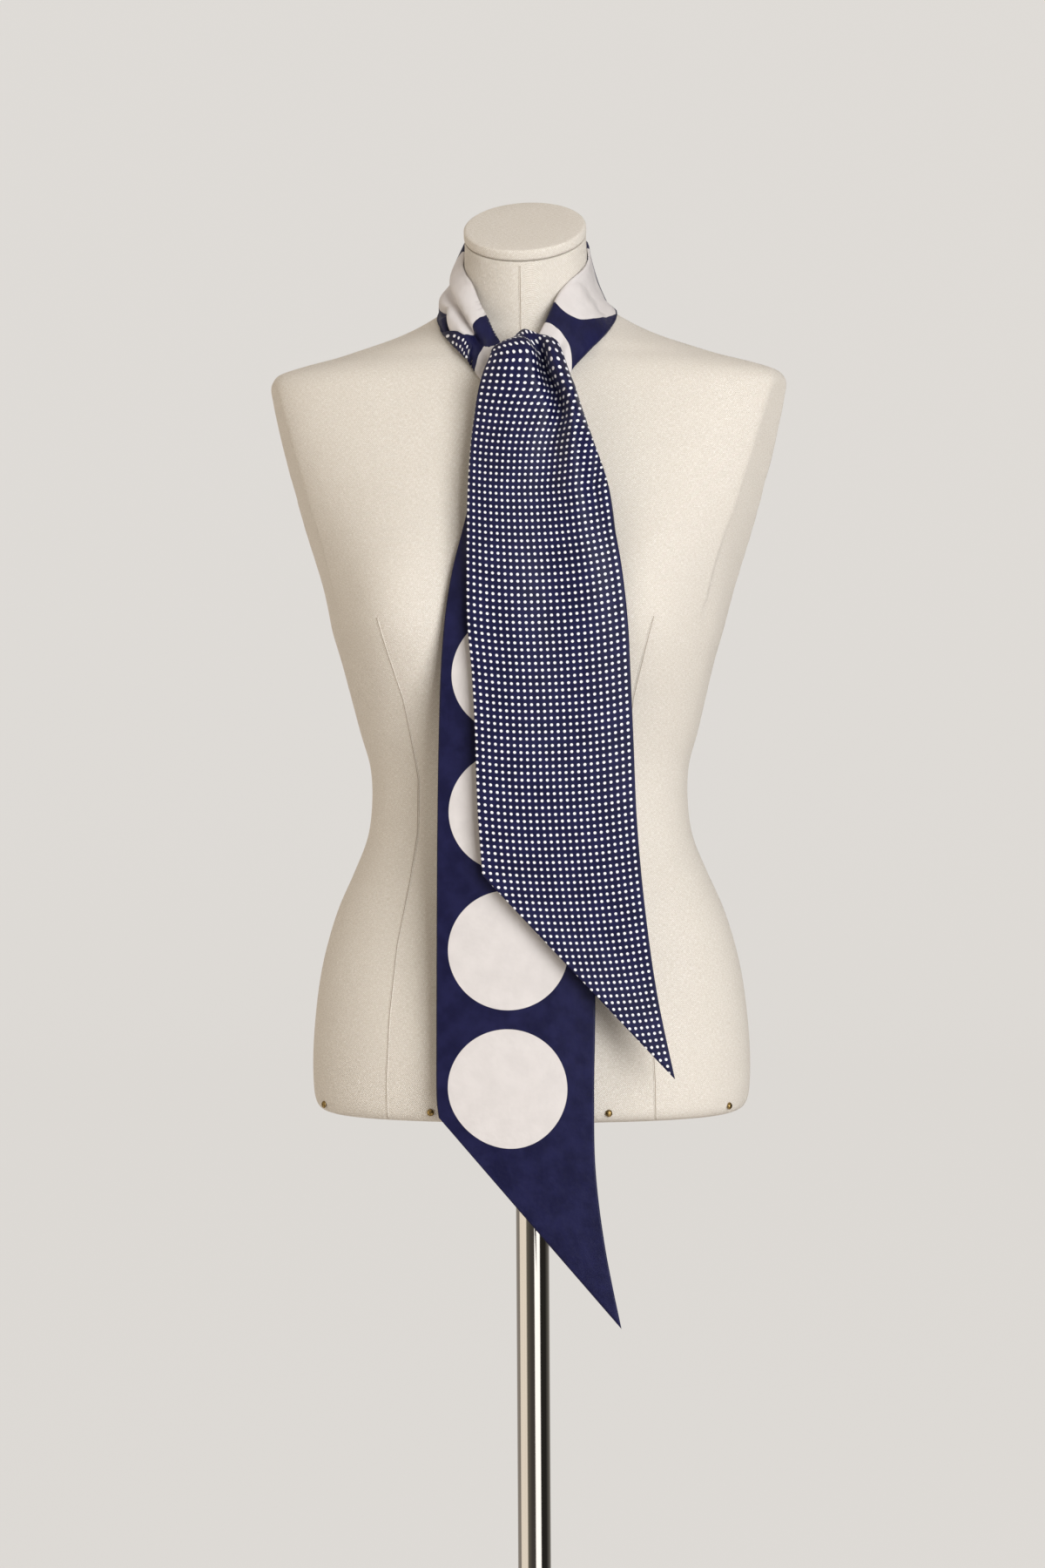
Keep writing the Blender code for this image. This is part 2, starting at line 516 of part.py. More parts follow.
def make_scarf(collection, torso):
    grid = bmesh.new()
    grid.from_mesh(torso.data)
    tree = BVHTree.FromBMesh(grid)
    grid.free()
    circles = make_material("scarf_circle_face", NAVY_SILK)
    dots = make_material("scarf_dot_face", DOTTED_SILK)
    stretches = (
        ("scarf_knot", FRONT_SECTIONS, KNOT_ROWS, 12, TAIL_POINTS, None, dots),
        ("scarf_tail_front", FRONT_SECTIONS, FRONT_ROWS, 28, TAIL_POINTS, None, dots),
        ("scarf_neck_back", BACK_SECTIONS, NECK_BACK_ROWS, 10, ACROSS_POINTS, INWARD, circles),
        ("scarf_neck_right", BACK_SECTIONS, NECK_RIGHT_ROWS, 18, ACROSS_POINTS, INWARD, circles),
        ("scarf_tail_back", BACK_SECTIONS, BACK_ROWS, 26, ACROSS_POINTS, None, circles),
        ("scarf_neck_left", LEFT_SECTIONS, NECK_LEFT_ROWS, 18, ACROSS_POINTS, OUTWARD, circles),
    )
    for name, sections, rows, count, across, lower_fold, material in stretches:
        make_cloth(name, sections, rows, count, across, lower_fold, tree, material, collection)


def main():
    clear_scene()
    collection = make_collection(OBJECT_NAME)
    linen = make_material("form_linen", LINEN)
    torso = make_torso(collection, linen)
    make_neck_cap(collection, linen)
    make_nails(collection, make_material("nail_brass", BRASS))
    make_stand(collection, make_material("stand_steel", STEEL))
    make_scarf(collection, torso)


main()
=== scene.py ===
"""A long narrow silk scarf, knotted round the neck of a linen dress form on a steel stand.

Metres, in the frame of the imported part: +Z up, the front faces -Y, the origin under the pole.
The tables are in millimetres and degrees, and MM turns them into metres.
"""
import math
from collections import namedtuple

import bmesh
import bpy
from mathutils import Matrix, Vector
from mathutils.bvhtree import BVHTree


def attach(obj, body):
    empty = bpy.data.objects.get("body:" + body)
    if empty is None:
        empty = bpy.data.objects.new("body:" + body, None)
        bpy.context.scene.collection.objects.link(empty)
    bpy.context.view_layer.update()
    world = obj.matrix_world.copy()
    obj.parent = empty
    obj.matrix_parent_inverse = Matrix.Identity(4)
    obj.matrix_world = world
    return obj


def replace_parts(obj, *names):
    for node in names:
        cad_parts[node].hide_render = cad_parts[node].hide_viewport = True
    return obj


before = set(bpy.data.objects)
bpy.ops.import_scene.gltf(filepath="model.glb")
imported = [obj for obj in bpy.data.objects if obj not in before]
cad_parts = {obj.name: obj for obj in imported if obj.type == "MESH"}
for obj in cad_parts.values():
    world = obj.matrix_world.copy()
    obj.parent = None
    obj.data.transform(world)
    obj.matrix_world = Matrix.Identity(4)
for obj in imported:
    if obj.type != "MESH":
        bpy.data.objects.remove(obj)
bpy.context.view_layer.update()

MM = 0.001


def rows_of(kind, rows):
    """A table whose rows can be read by their columns' names."""
    return [kind(*row) for row in rows]


# Sizes

# Scarf, as it was cut and as its two faces are printed. The circles are counted up to the last one,
# where the print's run is 0.
CLOTH_WIDTH = 119.5 * MM
CLOTH_THICKNESS = 0.5 * MM
FRONT_ACROSS = 84
BACK_ACROSS = 72
CLOTH_STEP = 2.6 * MM
CIRCLE_RADIUS = 45.3 * MM
CIRCLE_PITCH = 105.0 * MM
LAST_CIRCLE_RUN = 829.0 * MM
LAST_CIRCLE = 0.0
CIRCLE_ACROSS = 54.0 * MM
CIRCLE_SOFTNESS = 0.15 * MM
DOT_RADIUS = 1.11 * MM
DOT_PITCH_ACROSS = 4.78 * MM
DOT_PITCH_ALONG = 5.2 * MM
DOT_COLUMNS = 25
DOT_MARGIN = 1.1 * MM
DOT_SOFTNESS = 0.14 * MM
TWILL_PITCH = 0.55 * MM

# How the scarf lies: its distance from the form where it shows and where it is turned under, the
# bends at its folded edges, and the slope of what is turned under
OUTER_CLEARANCE = 2.3 * MM
INNER_CLEARANCE = 0.9 * MM
BEND_RADIUS = 1.6 * MM
BEND_STEPS = 8
CUFF_GAP = 1.3 * MM
UNDER_SLOPE = 0.45
LONGEST_TURN = 0.85
LAYER_MARGIN = 0.5 * MM
ARC_STEPS = 120
FINE_STEPS = 600

# Where across the cloth the print begins to run ahead, over how much of it, and the curves of that
# and of the print's sag
SLANT_FROM = 50.0
SLANT_OVER = 45.0
SLANT_POWER = 1.3
SAG_POWER = 2.4

# Dress form
BUST_APEX_X = 100 * MM
BUST_APEX_Z = 1205 * MM
BUST_RISE = 38 * MM
BUST_SPREAD_X = 42 * MM
BUST_SPREAD_Z = 55 * MM
FORM_AROUND = 240
FORM_ROWS_EACH = 7
LINEN_PITCH = 1.15 * MM
CAP_THICKNESS = 9 * MM
CAP_OVERHANG = 0.5 * MM
CAP_GAP = 0.3 * MM
CAP_ROUNDING = 2.6 * MM
CAP_AROUND = 96
SEAM_HALF = 1.3 * MM
SEAM_RISE = 0.30 * MM
SEAM_WALL = 0.25 * MM
SEAM_STEP = 1.3 * MM
STITCH_PITCH = 2.6 * MM
SEAM_PROBE_FROM = 0.6

# Hem nails
NAIL_RADIUS = 2.8 * MM
NAIL_RISE = 2.0 * MM
NAIL_HEIGHT = 827 * MM
NAIL_SECTION = 2
NAIL_SEAT = 0.8 * MM
NAIL_PROBE = 0.02
NAIL_RIM = 0.3 * MM
NAIL_AROUND = 24
NAIL_ANGLES = (-66, -20, 20, 66, 114, 160, 200, 246)

# Stand
POLE_RADIUS = 13 * MM
SLEEVE_RADIUS = 17 * MM
SLEEVE_LENGTH = 50 * MM
FLANGE_RADIUS = 40 * MM
FLANGE_THICKNESS = 4 * MM
BASE_RADIUS = 190 * MM
BASE_THICKNESS = 9 * MM
FOOT_COLLAR_RADIUS = 24 * MM
FOOT_COLLAR_HEIGHT = 14 * MM
FIT_GAP = 0.3 * MM
FLANGE_EDGE = 0.5 * MM
SLEEVE_EDGE = 0.6 * MM
SLEEVE_FILLET = 2 * MM
POLE_EDGE = 1 * MM
COLLAR_EDGE = 1 * MM
COLLAR_BEVEL = 0.3 * MM
COLLAR_FILLET = 0.8 * MM
PLATE_ROUNDING = 2.5 * MM
PLATE_FOOT = 0.4 * MM
POLE_AROUND = 96
PLATE_AROUND = 192

# A section of the form by height: half its width, how far it reaches forward and back, how square
# it is, where its middle lies in y, and its tilt
FormSection = namedtuple("FormSection", "z half_width front back square mid_y tilt", defaults=(0, 0))
FORM_SECTIONS = rows_of(FormSection, (
    (819, 160, 104, 118, 2.35),
    (821.5, 165.8, 109.6, 123.6, 2.35),
    (827, 169.4, 113.3, 127.3, 2.35),
    (838, 171.3, 115, 129, 2.35),
    (862, 171.7, 116, 130, 2.35),
    (893, 169.6, 114.5, 130, 2.34),
    (924, 165.5, 111, 127, 2.32),
    (951, 159.4, 107, 121, 2.3),
    (978.5, 150.5, 103.5, 112, 2.28),
    (1006, 138.2, 100, 103, 2.25),
    (1033, 127.6, 97, 95, 2.25),
    (1060.5, 123.8, 95.5, 90, 2.25),
    (1088, 124.8, 96, 89, 2.25),
    (1115, 132, 98, 91, 2.25),
    (1142.5, 138.6, 101, 94, 2.27),
    (1170, 145.3, 104, 97, 2.3),
    (1197, 153.2, 106, 100, 2.35),
    (1225, 160.9, 106, 102.5, 2.4),
    (1252, 169.3, 104, 104.5, 2.5),
    (1279.5, 177.8, 100, 106, 2.6),
    (1307, 185.2, 95, 106.5, 2.72),
    (1334, 192.6, 88.5, 105, 2.85),
    (1361.5, 198.7, 80, 100, 2.9),
    (1375, 201.3, 75, 95, 2.9),
    (1385, 202.8, 71.5, 91, 2.85),
    (1391, 201, 69.3, 87.5, 2.7),
    (1396.5, 194, 67.2, 84, 2.5),
    (1402.6, 175.1, 65, 80, 2.3),
    (1409, 150.5, 62.8, 76, 2.05),
    (1416, 128.5, 61, 72.5, 1.9),
    (1423, 107.7, 59.3, 69, 1.8, 0, 1),
    (1430, 91, 58, 66, 1.72, 0, 3),
    (1437, 77.5, 57, 63.5, 1.7, -0.5, 6),
    (1444, 66.5, 56.4, 61, 1.75, -1.5, 9),
    (1453, 57, 55.8, 58.5, 1.88, -3, 13),
    (1464, 51, 55.4, 56.5, 1.97, -5, 17),
    (1476.5, 48.5, 55.1, 55.6, 2, -7.5, 21),
    (1489, 47.6, 55, 55.2, 2, -9.8, 24),
    (1501, 47.3, 55, 55, 2, -12, 26),
))

# A section across the cloth: its left or upper outline, its right or lower one, the way its outer
# face looks, how far it swells, how each side rolls, where its crease lies and how deep and wide
# that is, and how far the print's rows hang in the middle
ClothSection = namedtuple(
    "ClothSection",
    "lx ly lz rx ry rz turn lean swell l_roll r_roll crease_at crease crease_width sag",
    defaults=(30, 30, 0, 0, 0.3, 0),
)
FRONT_SECTIONS = rows_of(ClothSection, (
    (-13, -76.5, 1391, 0, -76, 1389, 0, 180, 0.5, 30, 30, 0, 0, 0.2),
    (-14.5, -77, 1402, 2, -76, 1404.5, 0, 172, 1, 40, 40, 0, 0, 0.2),
    (-17, -80.5, 1408, 9, -82.5, 1416.5, 0, 130, 3, 50, 60, 0.35, -4, 0.35),
    (-18.5, -86.5, 1409, 22, -89, 1417, 0, 95, 4.5, 60, 70, 0.35, -5.5, 0.35, 1),
    (-19.2, -92, 1407.5, 30.5, -93.5, 1414, 0, 55, 7.5, 70, 80, 0.36, 9, 0.2, 1),
    (-20.5, -95.5, 1401.5, 35.5, -96, 1404, 0, 25, 9, 62, 90, 0.42, 17, 0.17, 2),
    (-24.5, -98.5, 1390.5, 40, -98, 1391, 0, 8, 9, 48, 95, 0.44, 17, 0.15, 4),
    (-28, -102, 1376, 46, -101, 1376, 0, 5, 8, 40, 90, 0.53, 16, 0.145, 5),
    (-30.4, -105, 1358, 51.5, -106.5, 1358, 0, 4, 7, 36, 80, 0.58, 10.5, 0.15, 5.5),
    (-32.8, -111.5, 1334, 59.7, -114.5, 1334, 0, 3, 6, 34, 70, 0.3, 4.5, 0.19, 5.5),
    (-34, -120.5, 1306, 69.3, -123.5, 1306, 0, 2, 5.2, 34, 60, 0.1, 2, 0.25, 5.5),
    (-34.6, -130.5, 1269, 76.9, -132.5, 1269, 0, 0, 4.2, 34, 48, 0, 1, 0.3, 5.8),
    (-34.6, -139.5, 1238, 82.6, -139, 1238, 0, 0, 3.5, 40, 40, 0.04, 2.5, 0.32, 6.2),
    (-34, -143, 1200, 86.9, -143.5, 1200, 0, 0, 3, 35, 35, 0.08, 2, 0.32, 6.2),
    (-30.8, -144.5, 1163, 88.8, -145.5, 1161, 0, 0, 3, 30, 30, 0.1, 1.5, 0.35, 5.6),
    (-28.8, -145, 1124, 90.9, -146, 1108, 0, 0, 2.5, 30, 30, 0.1, 1, 0.35, 5.2),
    (-27.9, -145, 1090, 93.2, -147, 1050, 0, 0, 2, 30, 30, 0, 0, 0.35, 4.8),
    (-26.9, -145.5, 1060, 98.4, -145, 988, 0, 0, 1.5, 30, 30, 0, 0, 0.35, 4.6),
    (-25.4, -144.5, 1033, 107.2, -142, 921, 0, 0, 1, 30, 30, 0, 0, 0.35, 4),
    (-23.8, -143.5, 1010, 120.5, -143.5, 856.5, 0, 0, 1, 30, 30, 0, 0, 0.35, 3),
))

BACK_SECTIONS = rows_of(ClothSection, (
    (-37, 33.5, 1505.5, -50, 51, 1445, 220, 12, 2, 30, 30, 0.1, 0.5),
    (-19, 47, 1508, -27, 67.5, 1446, 200, 12, 2, 30, 30, 0.1, 1.5),
    (0, 52, 1509, 0, 74.5, 1446.5, 180, 12, 2.5, 30, 30, 0, 2),
    (19, 47, 1508, 27, 67.5, 1446, 160, 12, 2, 30, 30, -0.1, 1),
    (36, 33.5, 1505.5, 50, 51, 1445, 140, 12, 1.5, 30, 30, 0.1),
    (46.5, 17, 1499, 63, 31, 1446, 115, 14, -2, 30, 30, 0.1),
    (48.8, -3, 1486, 68.5, 3, 1443, 90, 18, -3.6, 30, 30, -0.2, 1, 0.4),
    (44, -25, 1473.5, 69, -20, 1434, 70, 24, -2.4, 30, 30, -0.2, 1.5, 0.4),
    (37.5, -42.5, 1463.5, 67, -39, 1427, 52, 30, 1.5, 30, 40, -0.1, 1, 0.4),
    (30, -54, 1452, 61, -55, 1418.5, 38, 32, 3, 30, 50, 0, 1, 0.4),
    (24.8, -62, 1440.5, 51.5, -69.5, 1407, 28, 30, 4, 30, 60, 0.1, 1.5),
    (19.5, -70, 1427.5, 40, -80, 1392, 18, 24, 4, 30, 60, 0.1, 2),
    (10, -80.5, 1410, 35.5, -86, 1375, 8, 12, 2, 30, 50, 0.1, 1.5),
    (-5, -84.5, 1396, 37, -89, 1360, 0, 6, 1.5, 30, 45, 0.1, 1),
    (-15, -88.5, 1375, 42.5, -93, 1345, 0, 4, 2, 30, 40, 0.2, 1),
    (-21.5, -95, 1354, 45, -99, 1330, 0, 2, 3, 30, 40, 0.2, 1),
    (-28, -103, 1330, 49, -106, 1312, 0, 0, 3, 30, 40, 0.2, 0.5),
    (-32.5, -111, 1303, 52.5, -113, 1293, 0, 0, 3, 30, 35),
    (-39.5, -119.5, 1272, 55.5, -120.5, 1268, 0, 0, 3),
    (-47, -127, 1239, 58.5, -127.5, 1237, 0, 0, 2.5),
    (-52, -131, 1205, 60, -131.5, 1205, 0, 0, 2.5),
    (-55.4, -132, 1164, 60.7, -133, 1164, 0, 0, 2.5),
    (-57.4, -131.5, 1113, 60.7, -132.5, 1113, 0, 0, 2.5),
    (-59, -130.5, 1050, 60.5, -131, 1050, 0, 0, 2),
    (-60, -129.5, 980, 60.3, -130, 980, 0, 0, 2),
    (-60.7, -129, 915, 59.8, -129.5, 905, 0, 0, 2),
    (-61, -129, 880, 58.6, -129.5, 840, 0, 0, 2),
    (-61.2, -129, 856, 59.5, -129.5, 785, 0, 0, 1.5),
    (-61, -129, 838, 66.5, -130.5, 727, 0, 0, 1),
    (-59.5, -129, 825.5, 78.5, -132.5, 666.5, 0, 0, 0.5),
))

LEFT_SECTIONS = rows_of(ClothSection, (
    (-37, 33.5, 1505.5, -50, 51, 1445, -140, 12, 2, 30, 30, 0.1, 0.5),
    (-48.5, 17, 1503, -60, 29, 1448, -115, 14, 3, 30, 50, 0, 1.5),
    (-50.8, -3, 1487.5, -64, 2, 1443, -90, 18, 6, 35, 85, -0.1, 4, 0.25),
    (-46.5, -25, 1474, -66, -21, 1433, -70, 24, 8, 45, 70, -0.1, 7.5, 0.2),
    (-39.5, -44, 1461.5, -62.5, -39, 1425.5, -52, 28, 8.5, 55, 58, -0.1, 9, 0.17),
    (-33, -54, 1448, -56.5, -53.5, 1418.5, -40, 30, 8.5, 60, 50, -0.1, 9.5, 0.16),
    (-27, -61, 1437.5, -49, -63.5, 1411, -30, 28, 7.5, 60, 45, -0.05, 8.5, 0.16),
    (-21, -66.5, 1425, -40, -70.5, 1401.5, -20, 20, 4, 50, 40, 0, 3.5, 0.22),
    (-13.5, -70.6, 1412, -30, -74.1, 1389, -8, 10, 1.5, 40, 50, 0, 1, 0.25),
    (-3, -71.9, 1403, -15, -75.7, 1379, 0, 4, 0.5, 30, 30, 0, 0, 0.25),
))

# How many millimetres of the cloth's width are turned under at its left or upper edge, row by row,
# and at the other edge: below 0 turned under there, above 0 turned up as a cuff. lead above 1
# gives the part next to the left or upper edge less of the width that shows. slant is how far the
# print runs ahead at the right or lower edge.
Turn = namedtuple("Turn", "row upper lower lead slant", defaults=(1, 0))
FRONT_TURNS = rows_of(Turn, (
    (0, 20, -40), (3, 12, -40), (5, 4, -40), (7, 3.6, -38), (8.2, 3.2, -28), (9.15, 2.8, -15),
    (10.15, 1.6, -2), (11, 0.5, 0), (12, 0, 0), (19, 0, 0),
))
BACK_TURNS = rows_of(Turn, (
    (0, 35, -20), (4, 35, -20), (6, 42, -26), (6.7, 43, -21), (7.3, 43.5, -12), (7.9, 44, -8),
    (8.6, 44, -8), (9, 44, -10), (9.7, 41, -14), (10.2, 38, -20, 1, 12), (11.3, 32, -32, 1, 18),
    (12, 30, -34, 1, 16), (13, 24, -18, 1, 10), (15, 12, -8), (17, 0, 0), (29, 0, 0),
))
LEFT_TURNS = rows_of(Turn, (
    (0, 35, -20), (1.5, 44, -16), (2.6, 48, -8, 1.2), (3.3, 50, -3, 1.1), (3.9, 50, -0.1, 0.95),
    (4.3, 50, 2, 1.2), (4.8, 49, 6, 1.8, -3), (5.3, 46, 10, 2.2, -8), (5.8, 42, 13, 2.2, -10),
    (6.4, 34, 14, 1.5, -8), (6.9, 23, 11, 1.1), (7.15, 16, -0.1), (7.4, 9, -28), (7.9, 4, -44),
    (9, 2, -50),
))

# Ridges and dips on the three runs of cloth, row by row: where each lies across the cloth, how far
# it stands up, or dips where that is below 0, and how wide it is, in millimetres
Fold = namedtuple("Fold", "row at rise width")
FRONT_FOLDS = [rows_of(Fold, table) for table in (
    ((4.2, 66, 0, 5), (5, 68, 6.5, 5.5), (6.6, 74, 11.5, 6), (7.8, 82, 12, 6.5), (8.6, 86, 9.5, 8),
     (9.7, 90, 7, 12), (10.8, 94, 4.5, 16), (12, 96, 3, 18), (13.5, 96, 0, 18)),
    ((8.8, 100, 0, 4), (9.8, 104, -3, 4.5), (10.5, 106, -2.5, 5), (11.3, 108, 0, 6)),
    ((9.2, 114, 0, 5), (10.3, 116, 2, 5), (12, 117, 1.5, 5), (14, 117, 0, 5)),
    ((6, 26, 0, 8), (8, 28, 0.8, 9), (10, 26, 0.8, 10), (12, 24, 0, 10)),
)]
BACK_FOLDS = [rows_of(Fold, table) for table in (
    ((13.5, 0, 0, 10), (15, 0, -4, 10), (18, 0, -4, 10), (20, 0, 0, 10)),
    ((5.2, 86, 0, 6), (6.2, 86, -1.6, 6), (7.4, 88, -1.8, 6), (8.6, 92, 0, 6)),
    ((9, 70, 0, 7), (10.2, 72, 1.2, 7), (11.6, 74, 1.2, 7), (12.6, 74, 0, 7)),
)]
LEFT_FOLDS = [rows_of(Fold, table) for table in (
    ((2.7, 101, 0, 5), (3.5, 101, -5.5, 4.5), (4.4, 99, -5.5, 4.5), (5.4, 98, -4, 5), (6.3, 98, 0, 5)),
    ((2, 84, 0, 8), (3, 84, 1.4, 8), (4.4, 84, 1.2, 8), (5.6, 84, 0, 8)),
)]

# One run of cloth: its tables, its steps across, and the row up to which its print stays square
Run = namedtuple("Run", "sections turns folds across square_row")
FRONT_RUN = Run(FRONT_SECTIONS, FRONT_TURNS, FRONT_FOLDS, FRONT_ACROSS, 8)
BACK_RUN = Run(BACK_SECTIONS, BACK_TURNS, BACK_FOLDS, BACK_ACROSS, 20)
LEFT_RUN = Run(LEFT_SECTIONS, LEFT_TURNS, LEFT_FOLDS, BACK_ACROSS, 9)


# Small tools

def smooth_row(rows, position):
    """A row between two rows of a table, on Catmull-Rom curves through every column."""
    last = len(rows) - 1
    start = max(0, min(int(position), last - 1))
    part = position - start
    before = rows[max(start - 1, 0)]
    here = rows[start]
    there = rows[start + 1]
    after = rows[min(start + 2, last)]
    values = []
    for a, b, c, d in zip(before, here, there, after):
        bend = (2 * a - 5 * b + 4 * c - d) * part ** 2 + (3 * b - a - 3 * c + d) * part ** 3
        values.append(0.5 * (2 * b + (c - a) * part + bend))
    return type(here)(*values)


def between(table, position, column):
    """A column of a table whose first column is the row position, in straight steps."""
    for low, high in zip(table, table[1:]):
        if position <= high[0]:
            part = max(0.0, (position - low[0]) / (high[0] - low[0]))
            return low[column] + (high[column] - low[column]) * part
    return table[-1][column]


def running_lengths(points):
    """The length along the points up to each of them."""
    lengths = [0.0]
    for a, b in zip(points, points[1:]):
        lengths.append(lengths[-1] + (b - a).length)
    return lengths


def upright_ring(radius, height, steps):
    """Points round the upright axis."""
    points = []
    for i in range(steps):
        angle = math.tau * i / steps
        points.append(Vector((radius * math.cos(angle), radius * math.sin(angle), height)))
    return points


def clean_mesh(mesh):
    """The points that meet are joined, and every face looks outward."""
    work = bmesh.new()
    work.from_mesh(mesh)
    bmesh.ops.remove_doubles(work, verts=work.verts, dist=1e-6)
    bmesh.ops.recalc_face_normals(work, faces=work.faces)
    work.to_mesh(mesh)
    work.free()


def add_piece(name, mesh, materials, stage=False):
    piece = bpy.data.objects.new(name, mesh)
    for material in materials:
        mesh.materials.append(material)
    bpy.context.scene.collection.objects.link(piece)
    if stage:
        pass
    else:
        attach(piece, "root")
    return piece


def grid_mesh(name, rows, flat, closed=False, flip=False):
    """A mesh of quads over rows of points, with a UV map from the same grid of flat places."""
    mesh = bpy.data.meshes.new(name)
    count = len(rows[0])
    points = [point for row in rows for point in row]
    faces = []
    places = []
    around = count if closed else count - 1
    for r in range(len(rows) - 1):
        for i in range(around):
            j = (i + 1) % count
            corners = [(r * count + i, flat[r][i]), (r * count + j, flat[r][i + 1]),
                       ((r + 1) * count + j, flat[r + 1][i + 1]), ((r + 1) * count + i, flat[r + 1][i])]
            if flip:
                corners.reverse()
            faces.append([corner[0] for corner in corners])
            places.extend(corner[1] for corner in corners)
    mesh.from_pydata(points, [], faces)
    uv = mesh.uv_layers.new(name="flat")
    for loop, place in zip(uv.data, places):
        loop.uv = place
    mesh.shade_smooth()
    return mesh


# Materials

class Graph:
    """Short calls for building the nodes of a material or of the room's light."""

    def __init__(self, owner):
        owner.use_nodes = True
        self.owner = owner
        self.tree = owner.node_tree
        self.shader = self.tree.nodes.get("Principled BSDF")

    def node(self, kind, **settings):
        made = self.tree.nodes.new(kind)
        for key, value in settings.items():
            setattr(made, key, value)
        return made

    def link(self, source, target):
        self.tree.links.new(source, target)

    def feed(self, socket, value):
        if isinstance(value, (int, float)):
            socket.default_value = value
        elif isinstance(value, tuple):
            socket.default_value = value if len(value) == len(socket.default_value) else (*value, 1.0)
        else:
            self.link(value, socket)

    def math(self, operation, *values):
        made = self.node("ShaderNodeMath", operation=operation)
        for socket, value in zip(made.inputs, values):
            self.feed(socket, value)
        return made.outputs[0]

    def mix(self, share, low, high):
        made = self.node("ShaderNodeMix", data_type="RGBA")
        self.feed(made.inputs[0], share)
        self.feed(made.inputs[6], low)
        self.feed(made.inputs[7], high)
        return made.outputs[2]

    def ramp(self, value, low, high, start=0.0, end=1.0, curve="SMOOTHSTEP"):
        made = self.node("ShaderNodeMapRange", interpolation_type=curve)
        for socket, number in zip(made.inputs, (value, low, high, start, end)):
            self.feed(socket, number)
        return made.outputs[0]

    def split(self, place):
        made = self.node("ShaderNodeSeparateXYZ")
        self.link(place, made.inputs[0])
        return made.outputs

    def flat_places(self):
        across, along, _ = self.split(self.node("ShaderNodeUVMap", uv_map="flat").outputs[0])
        return across, along

    def distance(self, x, y):
        return self.math("SQRT", self.math("ADD", self.math("MULTIPLY", x, x), self.math("MULTIPLY", y, y)))

    def vector(self, x, y, z=0.0):
        made = self.node("ShaderNodeCombineXYZ")
        for socket, value in zip(made.inputs, (x, y, z)):
            self.feed(socket, value)
        return made.outputs[0]

    def noise(self, place, scale, detail=2.0, rough=0.5):
        made = self.node("ShaderNodeTexNoise")
        self.link(place, made.inputs["Vector"])
        made.inputs["Scale"].default_value = scale
        made.inputs["Detail"].default_value = detail
        made.inputs["Roughness"].default_value = rough
        return made.outputs[0]

    def object_place(self):
        return self.node("ShaderNodeTexCoord").outputs["Object"]

    def set(self, **values):
        for socket, value in values.items():
            self.feed(self.shader.inputs[socket.replace("_", " ")], value)

    def bump(self, height, distance, strength=1.0, under=None):
        made = self.node("ShaderNodeBump")
        made.inputs["Strength"].default_value = strength
        made.inputs["Distance"].default_value = distance
        self.link(height, made.inputs["Height"])
        if under is not None:
            self.link(under, made.inputs["Normal"])
        return made.outputs[0]


NAVY = (0.0057, 0.0060, 0.0345)
NAVY_LIGHT = (0.0092, 0.0097, 0.0515)
OFF_WHITE = (0.645, 0.609, 0.596)
DOT_WHITE = (0.83, 0.83, 0.87)
SILK_SHEEN = (0.55, 0.58, 0.95)
LINEN_LOW = (0.835, 0.80, 0.745)
LINEN_HIGH = (0.87, 0.84, 0.79)
LINEN_SLUB = (0.64, 0.585, 0.51)
LINEN_LINE = (0.54, 0.48, 0.405)
LINEN_GROOVE = (0.30, 0.24, 0.18)
BRASS_DARK = (0.13, 0.085, 0.035)
BRASS_LIGHT = (0.42, 0.29, 0.11)
STEEL_DARK = (0.50, 0.48, 0.45)
STEEL_LIGHT = (0.58, 0.56, 0.53)
STUDIO_PAINT = (0.14, 0.138, 0.135)
STUDIO_GLOW = (0.630, 0.612, 0.588)


def silk(name, print_mask, white):
    """Silk twill: a fine diagonal rib, a soft sheen, and a print of white on navy."""
    g = Graph(bpy.data.materials.new(name))
    across, along = g.flat_places()
    share = print_mask(g, across, along)
    place = g.vector(across, along)
    cloudy = g.ramp(g.noise(place, 55.0, 3.0, 0.6), 0.3, 0.7)
    navy = g.mix(cloudy, NAVY, NAVY_LIGHT)
    pale = g.mix(cloudy, tuple(0.94 * c for c in white), white)
    rib = g.math("SINE", g.math("MULTIPLY", g.math("ADD", across, along), math.tau / TWILL_PITCH))
    rib = g.math("MULTIPLY_ADD", rib, 0.5, 0.5)
    puckers = g.bump(g.noise(place, 130.0, 2.0, 0.5), 0.9 * MM, 0.35)
    g.set(Base_Color=g.mix(share, navy, pale), Roughness=g.ramp(cloudy, 0.0, 1.0, 0.40, 0.48),
          Normal=g.bump(rib, 0.06 * MM, 0.5, puckers), Specular_IOR_Level=0.17,
          Sheen_Weight=0.05, Sheen_Roughness=0.35, Sheen_Tint=SILK_SHEEN)
    return g.owner


def circles(g, across, along):
    """Large coin dots in one row along the cloth."""
    turns = g.math("MINIMUM", g.math("ROUND", g.math("DIVIDE", along, CIRCLE_PITCH)), LAST_CIRCLE)
    up = g.math("SUBTRACT", along, g.math("MULTIPLY", turns, CIRCLE_PITCH))
    over = g.math("SUBTRACT", across, CIRCLE_ACROSS)
    return g.ramp(g.distance(up, over), CIRCLE_RADIUS + CIRCLE_SOFTNESS, CIRCLE_RADIUS - CIRCLE_SOFTNESS)


